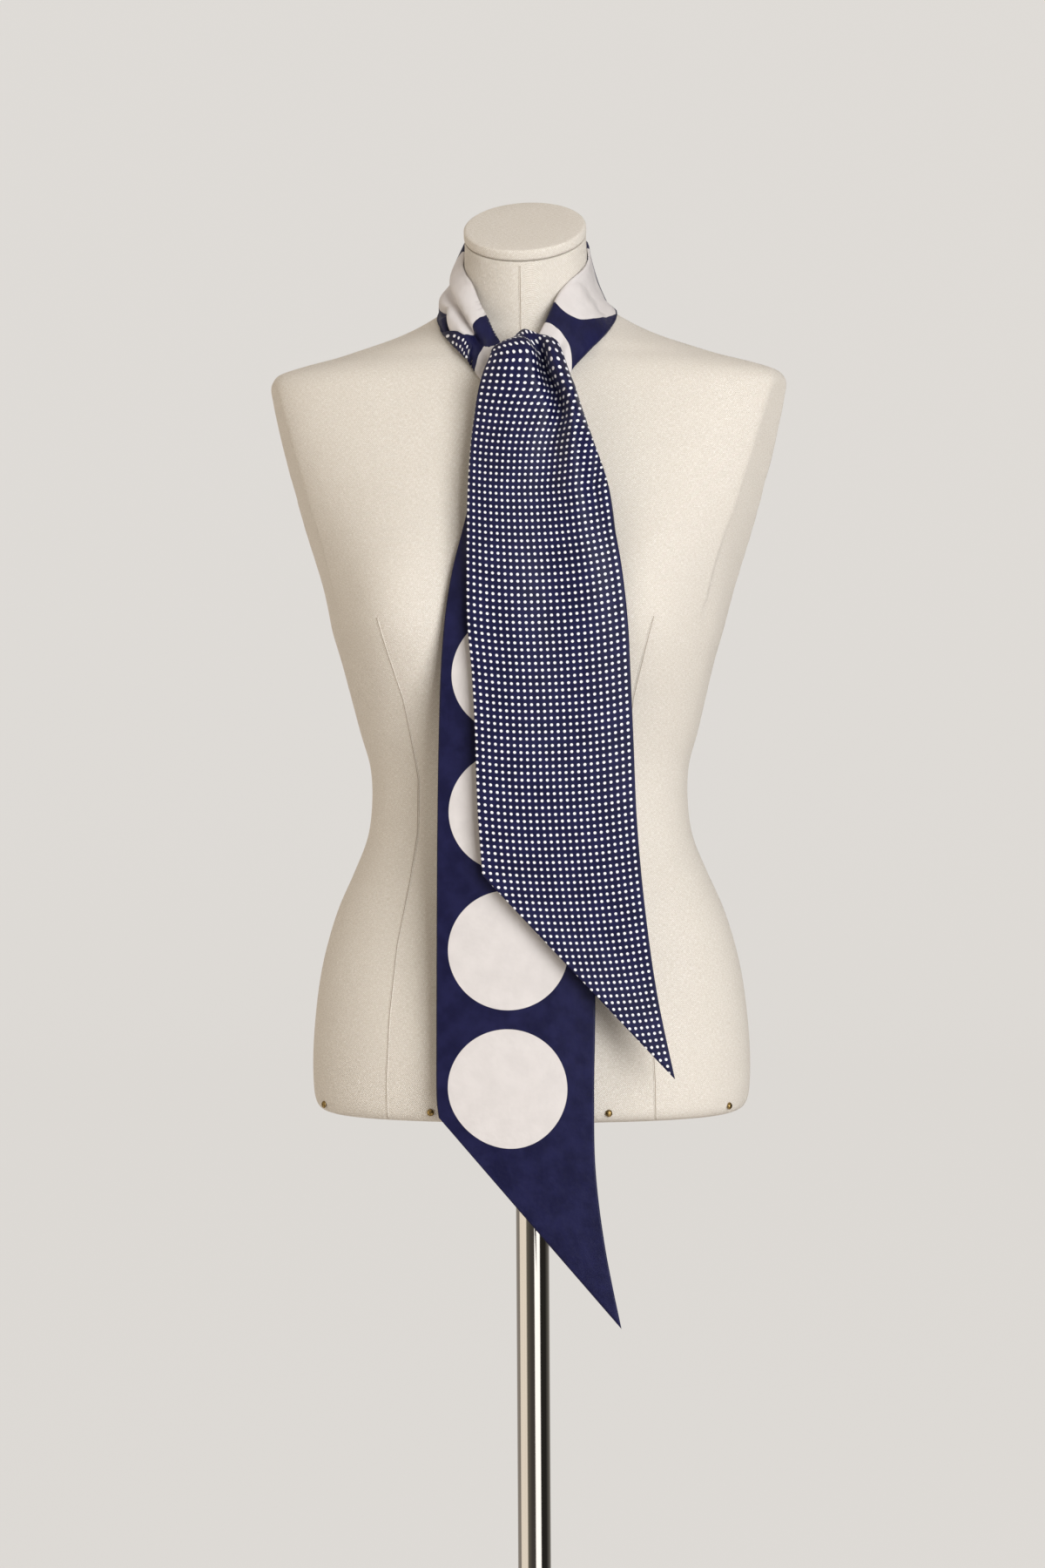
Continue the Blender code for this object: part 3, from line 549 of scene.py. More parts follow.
def pin_dots(g, across, along):
    """Small dots on a square grid that stops short of the cloth's edges."""
    column = g.math("DIVIDE", g.math("SUBTRACT", across, DOT_MARGIN), DOT_PITCH_ACROSS)
    nearest = g.math("MINIMUM", g.math("ROUND", column), DOT_COLUMNS - 1.0)
    nearest = g.math("MAXIMUM", nearest, 0.0)
    over = g.math("MULTIPLY", g.math("SUBTRACT", column, nearest), DOT_PITCH_ACROSS)
    row = g.math("DIVIDE", along, DOT_PITCH_ALONG)
    up = g.math("MULTIPLY", g.math("SUBTRACT", row, g.math("ROUND", row)), DOT_PITCH_ALONG)
    return g.ramp(g.distance(up, over), DOT_RADIUS + DOT_SOFTNESS, DOT_RADIUS - DOT_SOFTNESS)


def linen(name, seam=False):
    """Unbleached linen twill: fine dark diagonal lines, slubs and a matte nap."""
    g = Graph(bpy.data.materials.new(name))
    across, along = g.flat_places()
    place = g.vector(across, along)
    wander = g.math("MULTIPLY", g.noise(place, 60.0, 2.0), 0.9 * MM)
    diagonal = g.math("ADD", g.math("SUBTRACT", along, across), wander)
    wave = g.math("SINE", g.math("MULTIPLY", diagonal, math.tau / LINEN_PITCH * math.sqrt(0.5)))
    line = g.ramp(wave, -0.9, 0.5)
    patchy = g.ramp(g.noise(place, 28.0, 3.0, 0.6), 0.25, 0.75)
    cross_threads = g.noise(g.vector(g.math("MULTIPLY", across, 0.2), along), 1700.0, 2.0, 0.6)
    down_threads = g.noise(g.vector(across, g.math("MULTIPLY", along, 0.2)), 1900.0, 2.0, 0.6)
    slub = g.ramp(g.math("MULTIPLY", cross_threads, down_threads), 0.12, 0.42)
    threads = g.mix(slub, LINEN_SLUB, g.mix(patchy, LINEN_LOW, LINEN_HIGH))
    colour = g.mix(g.math("MULTIPLY_ADD", line, 0.62, 0.38), LINEN_LINE, threads)
    if seam:
        colour = g.mix(g.ramp(g.math("ABSOLUTE", across), 0.0, 0.55 * MM), LINEN_GROOVE, colour)
    g.set(Base_Color=colour, Roughness=0.92, Specular_IOR_Level=0.25, Sheen_Weight=0.12,
          Sheen_Roughness=0.6, Normal=g.bump(line, 0.22 * MM, 0.7, g.bump(slub, 0.25 * MM, 0.6)))
    return g.owner


def brass():
    """Aged brass with dull patches."""
    g = Graph(bpy.data.materials.new("nail_brass_aged"))
    dull = g.ramp(g.noise(g.object_place(), 900.0, 3.0, 0.6), 0.35, 0.65)
    g.set(Base_Color=g.mix(dull, BRASS_DARK, BRASS_LIGHT), Metallic=1.0,
          Roughness=g.ramp(dull, 0.0, 1.0, 0.55, 0.3), Normal=g.bump(dull, 0.1 * MM, 0.4))
    return g.owner


def brushed_steel(name, rings):
    """Steel with fine brush lines: along the pole, or round the base plate."""
    g = Graph(bpy.data.materials.new(name))
    x, y, z = g.split(g.object_place())
    angle = g.math("ARCTAN2", y, x)
    if rings:
        place = g.vector(g.math("MULTIPLY", g.distance(x, y), 1600.0), g.math("MULTIPLY", angle, 1.5), z)
    else:
        place = g.vector(g.math("MULTIPLY", angle, 26.0), g.math("MULTIPLY", z, 2.5), 0.0)
    lines = g.noise(place, 1.0, 3.0, 0.7)
    g.set(Base_Color=g.mix(g.ramp(lines, 0.3, 0.7), STEEL_DARK, STEEL_LIGHT), Metallic=1.0,
          Roughness=g.ramp(lines, 0.25, 0.75, 0.06, 0.12), Normal=g.bump(lines, 0.02 * MM, 0.1))
    return g.owner


def studio_paint():
    """Matte paint that keeps an even tone from every side."""
    g = Graph(bpy.data.materials.new("studio_paint"))
    g.set(Base_Color=STUDIO_PAINT, Roughness=1.0, Specular_IOR_Level=0.0,
          Emission_Color=STUDIO_GLOW, Emission_Strength=1.0)
    return g.owner


# Dress form

def signed_power(value, exponent):
    """A power that keeps the sign."""
    return math.copysign(abs(value) ** exponent, value)


def bust_rise(x, z):
    """How far the bust stands forward of the plain sections."""
    sideways = (abs(x) - BUST_APEX_X) / BUST_SPREAD_X
    upward = (z - BUST_APEX_Z) / BUST_SPREAD_Z
    return BUST_RISE * math.exp(-0.5 * (sideways ** 2 + upward ** 2))


# The flat panel that closes each armhole, by height: how much of it shows, and where its ridge
# lies as a share of the half width
Panel = namedtuple("Panel", "z share ridge")
ARMHOLE_PANEL = rows_of(Panel, (
    (1195, 0, 0.9), (1250, 0.55, 0.905), (1300, 0.9, 0.915), (1340, 1, 0.925),
    (1378, 1, 0.945), (1390, 0.6, 0.95), (1396, 0, 0.95),
))


def armhole_panel(section, x, y):
    """A section's point moved in to the flat panel between the armhole's ridge and the side."""
    share = between(ARMHOLE_PANEL, section.z, 1)
    ridge = between(ARMHOLE_PANEL, section.z, 2)
    half = section.half_width * MM
    out = abs(x) / half
    depth = (section.front if y < 0 else section.back) * MM
    if share <= 0 or out <= ridge:
        return x
    ridge_y = depth * (1 - ridge ** section.square) ** (1 / section.square)
    chord = half * (1 - (1 - ridge) * abs(y) / ridge_y)
    return math.copysign(abs(x) + (min(chord, abs(x)) - abs(x)) * share, x)


def form_point(section, angle):
    """A point of one form section, with angle 0 at the front and 90 at the wearer's left."""
    across = math.sin(angle)
    ahead = math.cos(angle)
    power = 2 / section.square
    x = section.half_width * MM * signed_power(across, power)
    depth = section.front if ahead > 0 else section.back
    reach = -depth * MM * signed_power(ahead, power)
    if ahead > 0:
        reach -= bust_rise(x, section.z * MM) * min(1.0, 4 * ahead)
    x = armhole_panel(section, x, reach)
    tilt = math.radians(section.tilt)
    y = section.mid_y * MM + reach * math.cos(tilt)
    z = section.z * MM + reach * math.sin(tilt)
    return Vector((x, y, z))


def even_angles(section, count):
    """Angles that put the points of a section at about equal steps round it."""
    fine = 8 * count
    points = [form_point(section, math.tau * i / fine) for i in range(fine + 1)]
    lengths = running_lengths(points)
    angles = []
    place = 0
    for i in range(count):
        wanted = lengths[-1] * i / count
        while lengths[place + 1] < wanted:
            place += 1
        part = (wanted - lengths[place]) / max(lengths[place + 1] - lengths[place], 1e-9)
        angles.append(math.tau * (place + part) / fine)
    return angles, lengths[-1]


def make_torso(material):
    """The padded body with its cover, closed at the hem and the neck."""
    rows = []
    flat = []
    steps = (len(FORM_SECTIONS) - 1) * FORM_ROWS_EACH
    heights = [0.0] * (FORM_AROUND + 1)
    for r in range(steps + 1):
        section = smooth_row(FORM_SECTIONS, r / FORM_ROWS_EACH)
        angles, girth = even_angles(section, FORM_AROUND)
        row = [form_point(section, angle) for angle in angles]
        if rows:
            for i in range(FORM_AROUND + 1):
                j = i % FORM_AROUND
                heights[i] += (row[j] - rows[-1][j]).length
        rows.append(row)
        half = FORM_AROUND // 2
        places = []
        for i in range(FORM_AROUND + 1):
            around = i if i <= half else i - FORM_AROUND
            places.append((girth * around / FORM_AROUND, heights[i]))
        flat.append(places)
    mesh = grid_mesh("form_cover", rows, flat, closed=True)
    lid = bmesh.new()
    lid.from_mesh(mesh)
    lid.verts.ensure_lookup_table()
    low = [lid.verts[i] for i in range(FORM_AROUND)]
    top = [lid.verts[steps * FORM_AROUND + i] for i in range(FORM_AROUND)]
    uv = lid.loops.layers.uv["flat"]
    for ring in (low, top[::-1]):
        face = lid.faces.new(ring)
        for loop in face.loops:
            loop[uv].uv = (loop.vert.co.x, loop.vert.co.y)
    bmesh.ops.recalc_face_normals(lid, faces=lid.faces)
    lid.to_mesh(mesh)
    lid.free()
    torso = add_piece("form_cover", mesh, [material])
    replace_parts(torso, "form_torso")
    return torso


def tree_of(piece):
    """A search tree over a piece's faces, for laying things on it."""
    grid = bmesh.new()
    grid.from_mesh(piece.data)
    tree = BVHTree.FromBMesh(grid)
    grid.free()
    return tree


# Scarf

def facing(section):
    """The direction that a section's outer face looks in."""
    turn = math.radians(section.turn)
    lean = math.radians(section.lean)
    ahead = math.cos(lean)
    return Vector((ahead * math.sin(turn), -ahead * math.cos(turn), math.sin(lean)))


def fold_rise(folds, position, across):
    """How far the ridges and dips lift the cloth at one place."""
    rise = 0.0
    for table in folds:
        if table[0].row < position < table[-1].row:
            at = between(table, position, 1)
            height = between(table, position, 2)
            width = between(table, position, 3)
            rise += height * math.exp(-((across / MM - at) / width) ** 2)
    return rise * MM


def shown_arc(section):
    """The stretch of one row that shows, from its left or upper outline to the other."""
    left = Vector((section.lx, section.ly, section.lz)) * MM
    right = Vector((section.rx, section.ry, section.rz)) * MM
    chord = right - left
    outward = facing(section)
    outward = (outward - chord * outward.dot(chord) / chord.length_squared).normalized()
    points = []
    for i in range(ARC_STEPS + 1):
        side = 2 * i / ARC_STEPS - 1
        roll = math.radians(section.l_roll if side < 0 else section.r_roll)
        angle = roll * side
        widest = math.sin(min(roll, math.pi / 2))
        along = math.sin(angle) / widest
        drop = (1 - math.cos(angle)) / (1 - math.cos(roll))
        trough = math.exp(-((along - section.crease_at) / section.crease_width) ** 2)
        lift = section.swell * (1 - drop) - section.crease * trough * (1 - drop)
        points.append(left + chord * (along + 1) / 2 + outward * lift * MM)
    return points, chord.normalized(), outward


def turned_under(points, away, inward, length):
    """From the last point, a bend round to the inside and a straight run back along the cloth."""
    tangent = (points[-1] - points[-2]).normalized()
    start = math.atan2(tangent.dot(inward), tangent.dot(away))
    bend = min(math.pi - start, length / BEND_RADIUS)
    result = [points[-1]]
    place = points[-1]
    for i in range(BEND_STEPS):
        heading = start + bend * (i + 0.5) / BEND_STEPS
        step = bend * BEND_RADIUS / BEND_STEPS
        place = place + (away * math.cos(heading) + inward * math.sin(heading)) * step
        result.append(place)
    rest = length - bend * BEND_RADIUS
    if rest > 0:
        result.append(place - away * rest + inward * rest * UNDER_SLOPE)
    return result


def turned_up(points, away, outward, length):
    """From the last point, a bend round to the outside and a run back that follows the cloth."""
    result = [points[-1]]
    back = list(reversed(points))
    lengths = running_lengths(back)
    for i in range(1, len(back)):
        if lengths[i] > length:
            break
        ahead = back[min(i + 1, len(back) - 1)] - back[i - 1]
        lie = (outward - ahead * outward.dot(ahead) / ahead.length_squared).normalized()
        turn = min(1.0, lengths[i] / CUFF_GAP)
        result.append(back[i] + lie * CUFF_GAP * turn + away * CUFF_GAP * math.sin(math.pi * turn) * 0.5)
    return result


def at_length(points, lengths, wanted):
    """The place at a length along the points."""
    place = 0
    while place < len(points) - 2 and lengths[place + 1] < wanted:
        place += 1
    step = (wanted - lengths[place]) / max(lengths[place + 1] - lengths[place], 1e-9)
    return points[place].lerp(points[place + 1], min(max(step, 0.0), 1.0))


def cloth_row(run, position):
    """One row of points at even steps of the cloth's width, the part that shows laid on its arc,
    and whether each point is in the outer layer."""
    section = smooth_row(run.sections, position)
    arc, chord, outward = shown_arc(section)
    arc_lengths = running_lengths(arc)
    upper = between(run.turns, position, 1) * MM
    lower = between(run.turns, position, 2) * MM
    lead = between(run.turns, position, 3)
    longest = LONGEST_TURN * arc_lengths[-1]
    under = [arc[0]]
    if upper > 0:
        under = turned_under(arc[::-1], -chord, -outward, min(upper, longest))
    over = [arc[-1]]
    if lower > 0:
        over = turned_up(arc, chord, outward, lower)
    elif lower < 0:
        over = turned_under(arc, chord, -outward, min(-lower, longest))
    under_lengths = running_lengths(under)
    over_lengths = running_lengths(over)
    shown = CLOTH_WIDTH - upper - abs(lower)
    row = []
    layer = []
    for i in range(run.across + 1):
        across = CLOTH_WIDTH * i / run.across
        if across < upper:
            row.append(at_length(under, under_lengths, under_lengths[-1] * (1 - across / upper)))
        elif across <= upper + shown:
            part = ((across - upper) / shown) ** (1 / lead)
            spot = at_length(arc, arc_lengths, arc_lengths[-1] * part)
            row.append(spot + outward * fold_rise(run.folds, position, across))
        else:
            part = (across - upper - shown) / abs(lower)
            row.append(at_length(over, over_lengths, over_lengths[-1] * part))
        in_front = lower > 0 or across <= upper + shown + LAYER_MARGIN
        layer.append(upper - LAYER_MARGIN <= across and in_front)
    return row, layer, section


def lay_on_form(row, layer, tree):
    """Lifts the points of a row that come too near the form, or lie in it."""
    for i, point in enumerate(row):
        nearest, normal, _, _ = tree.find_nearest(point)
        clearance = (point - nearest).dot(normal)
        wanted = OUTER_CLEARANCE if layer[i] else INNER_CLEARANCE
        if clearance < wanted:
            row[i] = nearest + normal * wanted


def strip(run, tree):
    """The grid of one run of cloth with its flat places: across from the left or upper edge,
    and along from the first row."""
    rows = []
    flat = []
    left_run = 0.0
    right_run = 0.0
    previous = None
    for position in even_positions(run.sections):
        row, layer, section = cloth_row(run, position)
        lay_on_form(row, layer, tree)
        left = Vector((section.lx, section.ly, section.lz)) * MM
        right = Vector((section.rx, section.ry, section.rz)) * MM
        if previous:
            left_step = (left - previous[0]).length
            right_step = (right - previous[1]).length
            if position <= run.square_row:
                left_step = right_step = (left_step + right_step) / 2
            left_run += left_step
            right_run += right_step
        previous = (left, right)
        rows.append(row)
        spots = []
        slant = between(run.turns, position, 4) * MM
        for i in range(run.across + 1):
            across = CLOTH_WIDTH * i / run.across
            part = across / CLOTH_WIDTH
            hang = section.sag * MM * (1 - abs(2 * part - 1) ** SAG_POWER)
            slanted = min(1.0, max(0.0, (across / MM - SLANT_FROM) / SLANT_OVER))
            ahead = slant * slanted ** SLANT_POWER
            spots.append((across, left_run + (right_run - left_run) * part - hang + ahead))
        flat.append(spots)
    return rows, flat


def even_positions(sections):
    """Row positions whose middles are about one step of the cloth apart."""
    last = len(sections) - 1
    middles = []
    for i in range(FINE_STEPS + 1):
        row = smooth_row(sections, last * i / FINE_STEPS)
        middles.append(Vector((row.lx + row.rx, row.ly + row.ry, row.lz + row.rz)) * MM / 2)
    lengths = running_lengths(middles)
    count = max(4, round(lengths[-1] / CLOTH_STEP))
    positions = []
    place = 0
    for i in range(count + 1):
        wanted = lengths[-1] * i / count
        while place < FINE_STEPS - 1 and lengths[place + 1] < wanted:
            place += 1
        part = (wanted - lengths[place]) / (lengths[place + 1] - lengths[place])
        positions.append(last * (place + min(part, 1.0)) / FINE_STEPS)
    return positions


def make_cloth(name, rows, flat, outer, inner, edge, replaced):
    """A thin shell of cloth with a face each side and an edge."""
    mesh = grid_mesh(name, rows, flat, flip=True)
    cloth = add_piece(name, mesh, [outer, inner, edge])
    wall = cloth.modifiers.new("cloth", "SOLIDIFY")
    wall.thickness = CLOTH_THICKNESS
    wall.offset = 0
    wall.use_even_offset = False
    wall.material_offset = 1
    wall.material_offset_rim = 2
    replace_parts(cloth, *replaced)


# Where the circles' print lies along the worn cloth: the cloth's run from behind the neck, and the
# print's run there. The steps whose lengths differ are mostly in plain navy between two circles.
PrintRun = namedtuple("PrintRun", "run printed")
PRINT_RUNS = rows_of(PrintRun, (
    (-400, -352), (-160, -112), (-152, -75), (-147, -69.5), (-133, -57), (-41, 35), (-4, 47.5),
    (89, 140.5), (132, 153), (221, 242), (241, 258), (333, 350), (363, 363), (1000, 1000),
))


def printed(flat):
    """The flat places with the print's run counted from the middle of the last circle."""
    result = []
    for row in flat:
        spots = []
        for across, along in row:
            spots.append((across, between(PRINT_RUNS, along / MM, 1) * MM - LAST_CIRCLE_RUN))
        result.append(spots)
    return result


def make_scarf(tree):
    """The front tail with the knot, and the run from the left of the neck to the back tail."""
    circle_face = silk("silk_circles", circles, OFF_WHITE)
    dot_face = silk("silk_pin_dots", pin_dots, DOT_WHITE)
    edge = silk("silk_edge", lambda g, across, along: 0.0, OFF_WHITE)

    rows, flat = strip(FRONT_RUN, tree)
    make_cloth("scarf_front", rows, flat, dot_face, circle_face, edge,
               ("scarf_knot", "scarf_tail_front"))

    rows, flat = strip(BACK_RUN, tree)
    left_rows, left_flat = strip(LEFT_RUN, tree)
    left_flat = [[(across, -along) for across, along in row] for row in left_flat]
    rows = left_rows[:0:-1] + rows
    flat = left_flat[:0:-1] + flat
    make_cloth("scarf_back", rows, printed(flat), circle_face, dot_face, edge,
               ("scarf_neck_back", "scarf_neck_right", "scarf_neck_left", "scarf_tail_back"))


# Form details and stand

def make_cap(material):
    """The linen covered disc on the neck, with a soft rounded edge."""
    top = FORM_SECTIONS[-1]
    half = CAP_THICKNESS / 2
    profile = [(0.0, -half, 0.0), (0.6, -half, 0.0)]
    for i in range(9):
        angle = math.radians(-90 + 22.5 * i)
        middle = -half + CAP_ROUNDING if i <= 4 else half - CAP_ROUNDING
        profile.append((1.0, middle + CAP_ROUNDING * math.sin(angle), CAP_ROUNDING * (1 - math.cos(angle))))
    for share, crown in ((0.6, 0.15), (0.25, 0.35), (0.0, 0.4)):
        profile.append((share, half + crown * MM, 0.0))
    rows = []
    flat = []
    wide = top.half_width * MM + CAP_OVERHANG
    deep = top.front * MM + CAP_OVERHANG
    run = 0.0
    for share, height, inset in profile:
        ring = []
        for i in range(CAP_AROUND):
            angle = math.tau * i / CAP_AROUND
            x = (wide * share - inset) * math.sin(angle)
            y = -(deep * share - inset) * math.cos(angle)
            ring.append(Vector((x, y, height)))
        if rows:
            run += (ring[0] - rows[-1][0]).length
        rows.append(ring)
        flat.append([(wide * math.tau * i / CAP_AROUND, run) for i in range(CAP_AROUND + 1)])
    mesh = grid_mesh("form_cap", rows, flat, closed=True)
    uv = mesh.uv_layers["flat"].data
    for face in mesh.polygons:
        if abs(face.normal.z) > 0.8:
            for loop in face.loop_indices:
                place = mesh.vertices[mesh.loops[loop].vertex_index].co
                uv[loop].uv = (place.x, place.y)
    tilt = math.radians(top.tilt)
    normal = Vector((0, -math.sin(tilt), math.cos(tilt)))
    centre = Vector((0, top.mid_y * MM, top.z * MM)) + normal * (half + CAP_GAP)
    mesh.transform(Matrix.Translation(centre) @ Matrix.Rotation(tilt, 4, "X"))
    clean_mesh(mesh)
    cap = add_piece("form_cap", mesh, [material])
    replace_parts(cap, "form_neck_cap")


def turned(name, profile, steps, material, node, place=None):
    """A turned solid from (radius, height) points that run from its top to its underside."""
    rows = [upright_ring(radius, height, steps) for radius, height in profile]
    flat = [[(i / steps, r / len(rows)) for i in range(steps + 1)] for r in range(len(rows))]
    mesh = grid_mesh(name, rows, flat, closed=True)
    clean_mesh(mesh)
    mesh.set_sharp_from_angle(angle=math.radians(40))
    if place is not None:
        mesh.transform(place)
    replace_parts(add_piece(name, mesh, [material]), node)


def make_nails(material):
    """Domed nails round the hem, each set square on the cover."""
    section = FORM_SECTIONS[NAIL_SECTION]
    profile = []
    for i in range(7):
        angle = math.radians(90 - 15 * i)
        profile.append((NAIL_RADIUS * math.cos(angle), NAIL_RISE * math.sin(angle)))
    profile += [(NAIL_RADIUS * 0.97, -NAIL_RIM), (0.0, -NAIL_RIM)]
    for number, degrees in enumerate(NAIL_ANGLES, start=1):
        angle = math.radians(degrees)
        seat = form_point(section, angle)
        ahead = form_point(section, angle + NAIL_PROBE) - form_point(section, angle - NAIL_PROBE)
        outward = ahead.cross(Vector((0, 0, 1))).normalized()
        if outward.dot(seat) < 0:
            outward = -outward
        place = Matrix.Translation(Vector((seat.x, seat.y, NAIL_HEIGHT)) + outward * NAIL_SEAT)
        place = place @ outward.to_track_quat("Z", "Y").to_matrix().to_4x4()
        turned(f"nail_{number}", profile, NAIL_AROUND, material, f"form_nail_{number}", place)


def make_stand(material, plate):
    """The socket under the hem, the pole, and the base plate with its collar."""
    top = FORM_SECTIONS[0].z * MM - FIT_GAP
    low = top - SLEEVE_LENGTH
    bore = POLE_RADIUS + FIT_GAP
    flange_low = top - FLANGE_THICKNESS
    socket = [
        (0, top), (FLANGE_RADIUS - FLANGE_EDGE, top), (FLANGE_RADIUS, top - FLANGE_EDGE),
        (FLANGE_RADIUS, flange_low + FLANGE_EDGE), (FLANGE_RADIUS - FLANGE_EDGE, flange_low),
        (SLEEVE_RADIUS + SLEEVE_FILLET, flange_low),
        (SLEEVE_RADIUS + SLEEVE_EDGE, flange_low - SLEEVE_EDGE),
        (SLEEVE_RADIUS, flange_low - SLEEVE_FILLET), (SLEEVE_RADIUS, low + SLEEVE_EDGE),
        (SLEEVE_RADIUS - SLEEVE_EDGE, low), (bore, low), (bore, flange_low), (0, flange_low),
    ]
    turned("socket", socket, POLE_AROUND, material, "stand_socket")
    pole_top = flange_low - FIT_GAP
    pole_low = BASE_THICKNESS + FIT_GAP
    pole = [
        (0, pole_top), (POLE_RADIUS - POLE_EDGE, pole_top), (POLE_RADIUS, pole_top - POLE_EDGE),
        (POLE_RADIUS, pole_low), (0, pole_low),
    ]
    turned("pole", pole, POLE_AROUND, material, "stand_pole")
    collar = FOOT_COLLAR_RADIUS
    collar_top = BASE_THICKNESS + FOOT_COLLAR_HEIGHT
    base = [
        (0, BASE_THICKNESS), (bore, BASE_THICKNESS), (bore, collar_top),
        (collar - COLLAR_EDGE, collar_top), (collar - COLLAR_BEVEL, collar_top - COLLAR_BEVEL),
        (collar, collar_top - COLLAR_EDGE), (collar, BASE_THICKNESS + COLLAR_FILLET),
        (collar + COLLAR_FILLET, BASE_THICKNESS),
    ]
    for i in range(6):
        angle = math.radians(90 - 18 * i)
        base.append((BASE_RADIUS - PLATE_ROUNDING * (1 - math.cos(angle)),
                     BASE_THICKNESS - PLATE_ROUNDING * (1 - math.sin(angle))))
    base += [(BASE_RADIUS, PLATE_FOOT), (BASE_RADIUS - PLATE_FOOT, 0), (0, 0)]
    turned("base_plate", base, PLATE_AROUND, plate, "stand_base")


# The seams over the bust and the hips: how far from the middle they run, by height
SeamPoint = namedtuple("SeamPoint", "z x")
PRINCESS_SEAM = rows_of(SeamPoint, (
    (820.5, 103), (850, 103), (900, 100.5), (954, 95), (1000, 86), (1039, 80),
    (1081, 79), (1142, 88), (1204, 105),
))


def seam_strip(name, tree, points, material):
    """A stitched seam along points on the form: two low lips with a groove between them."""
    rows = []
    flat = []
    run = 0.0
    across = ((-1.0, 0.02), (-0.55, 0.8), (-0.22, 0.7), (0.0, 0.05), (0.22, 0.7), (0.55, 0.8), (1.0, 0.02))
    seated = [tree.find_nearest(point)[:2] for point in points]
    for i, (place, normal) in enumerate(seated):
        ahead = seated[min(i + 1, len(seated) - 1)][0] - seated[max(i - 1, 0)][0]
        sideways = ahead.cross(normal).normalized()
        if i:
            run += (place - seated[i - 1][0]).length
        stitch = 0.85 + 0.15 * math.sin(math.tau * run / STITCH_PITCH)
        rows.append([place + sideways * SEAM_HALF * s + normal * (SEAM_RISE * h * stitch) for s, h in across])
        flat.append([(SEAM_HALF * s, run) for s, h in across])
    mesh = grid_mesh(name, rows, flat)
    seam = add_piece(name, mesh, [material])
    wall = seam.modifiers.new("cloth", "SOLIDIFY")
    wall.thickness = SEAM_WALL
    wall.offset = -1


def form_line(tree, places, ahead):
    """Points on the front (ahead 1) or back (ahead -1) of the form over (x, z) places."""
    points = []
    for x, z in places:
        origin = Vector((x, -SEAM_PROBE_FROM * ahead, z))
        hit, _, _, _ = tree.ray_cast(origin, Vector((0, ahead, 0)))
        if hit is not None:
            points.append(hit)
    return points


PRINCESS_TOPS = ((1, "front", 1204.0), (-1, "back", 1330.0))
CENTRE_TOPS = ((1, "front", 1474.0), (-1, "back", 1500.0))


def make_seams(tree, material):
    """Four seams over the bust and the shoulder blades, and one down the middle each side."""
    low = PRINCESS_SEAM[0].z
    last = PRINCESS_SEAM[-1]
    for side, name in ((-1, "right"), (1, "left")):
        for ahead, where, top in PRINCESS_TOPS:
            count = round((top - low) * MM / SEAM_STEP)
            places = []
            for i in range(count + 1):
                z = low + (top - low) * i / count
                x = between(PRINCESS_SEAM, z, 1) if z <= last.z else last.x
                places.append((side * x * MM, z * MM))
            seam_strip(f"seam_{where}_{name}", tree, form_line(tree, places, ahead), material)
    for ahead, where, top in CENTRE_TOPS:
        count = round((top - low) * MM / SEAM_STEP)
        places = [(0.0, (low + (top - low) * i / count) * MM) for i in range(count + 1)]
        seam_strip(f"seam_centre_{where}", tree, form_line(tree, places, ahead), material)


# Camera, stage and light

CAMERA_DISTANCE = 3.2
CAMERA_AZIMUTH = math.radians(5)
CAMERA_HEIGHT = 1.17
CAMERA_PIXELS = 4678.0
FRAME_HEIGHT = 1800
AIM_OFFSET = 8.5
PITCH_PIXELS = 140.0
CAMERA_ROLL = math.radians(-0.35)
SENSOR_HEIGHT = 36

STAGE_RADIUS = 8.5
STAGE_SWEEP = 2.0
STAGE_HEIGHT = 12.0
STAGE_AROUND = 96


def swing(first, second, angle):
    """Two square directions turned in their plane, the first towards the second."""
    cos = math.cos(angle)
    sin = math.sin(angle)
    return first * cos + second * sin, second * cos - first * sin


def make_camera():
    """The photograph's view, aimed by turning the camera rather than by shifting its picture."""
    sin = math.sin(CAMERA_AZIMUTH)
    cos = math.cos(CAMERA_AZIMUTH)
    place = Vector((CAMERA_DISTANCE * sin, -CAMERA_DISTANCE * cos, CAMERA_HEIGHT))
    right, ahead = swing(Vector((cos, sin, 0)), Vector((-sin, cos, 0)), math.atan(AIM_OFFSET / CAMERA_PIXELS))
    up, ahead = swing(Vector((0, 0, 1)), ahead, math.atan(PITCH_PIXELS / CAMERA_PIXELS))
    right, up = swing(right, up, CAMERA_ROLL)
    data = bpy.data.cameras.new("camera")
    data.sensor_fit = "VERTICAL"
    data.sensor_height = SENSOR_HEIGHT
    data.lens = CAMERA_PIXELS * SENSOR_HEIGHT / FRAME_HEIGHT
    data.clip_end = 50
    camera = bpy.data.objects.new("camera", data)
    turn = Matrix((right, up, -ahead)).transposed()
    camera.matrix_world = Matrix.Translation(place) @ turn.to_4x4()
    bpy.context.scene.collection.objects.link(camera)
    bpy.context.scene.camera = camera


def make_stage():
    """A pale floor that sweeps up into a wall all round, so every view has the same backdrop."""
    profile = [(0.0, 0.0), (1.0, 0.0), (3.0, 0.0), (STAGE_RADIUS, 0.0)]
    for i in range(1, 13):
        angle = math.radians(7.5 * i)
        profile.append((STAGE_RADIUS + STAGE_SWEEP * math.sin(angle), STAGE_SWEEP * (1 - math.cos(angle))))
    profile.append((STAGE_RADIUS + STAGE_SWEEP, STAGE_HEIGHT))
    rows = [upright_ring(radius, height, STAGE_AROUND) for radius, height in profile]
    flat = [[(0.0, 0.0)] * (STAGE_AROUND + 1) for _ in rows]
    mesh = grid_mesh("studio_floor", rows, flat, closed=True)
    floor = add_piece("studio_floor", mesh, [studio_paint()], stage=True)
    floor.visible_diffuse = False
    floor.visible_glossy = False


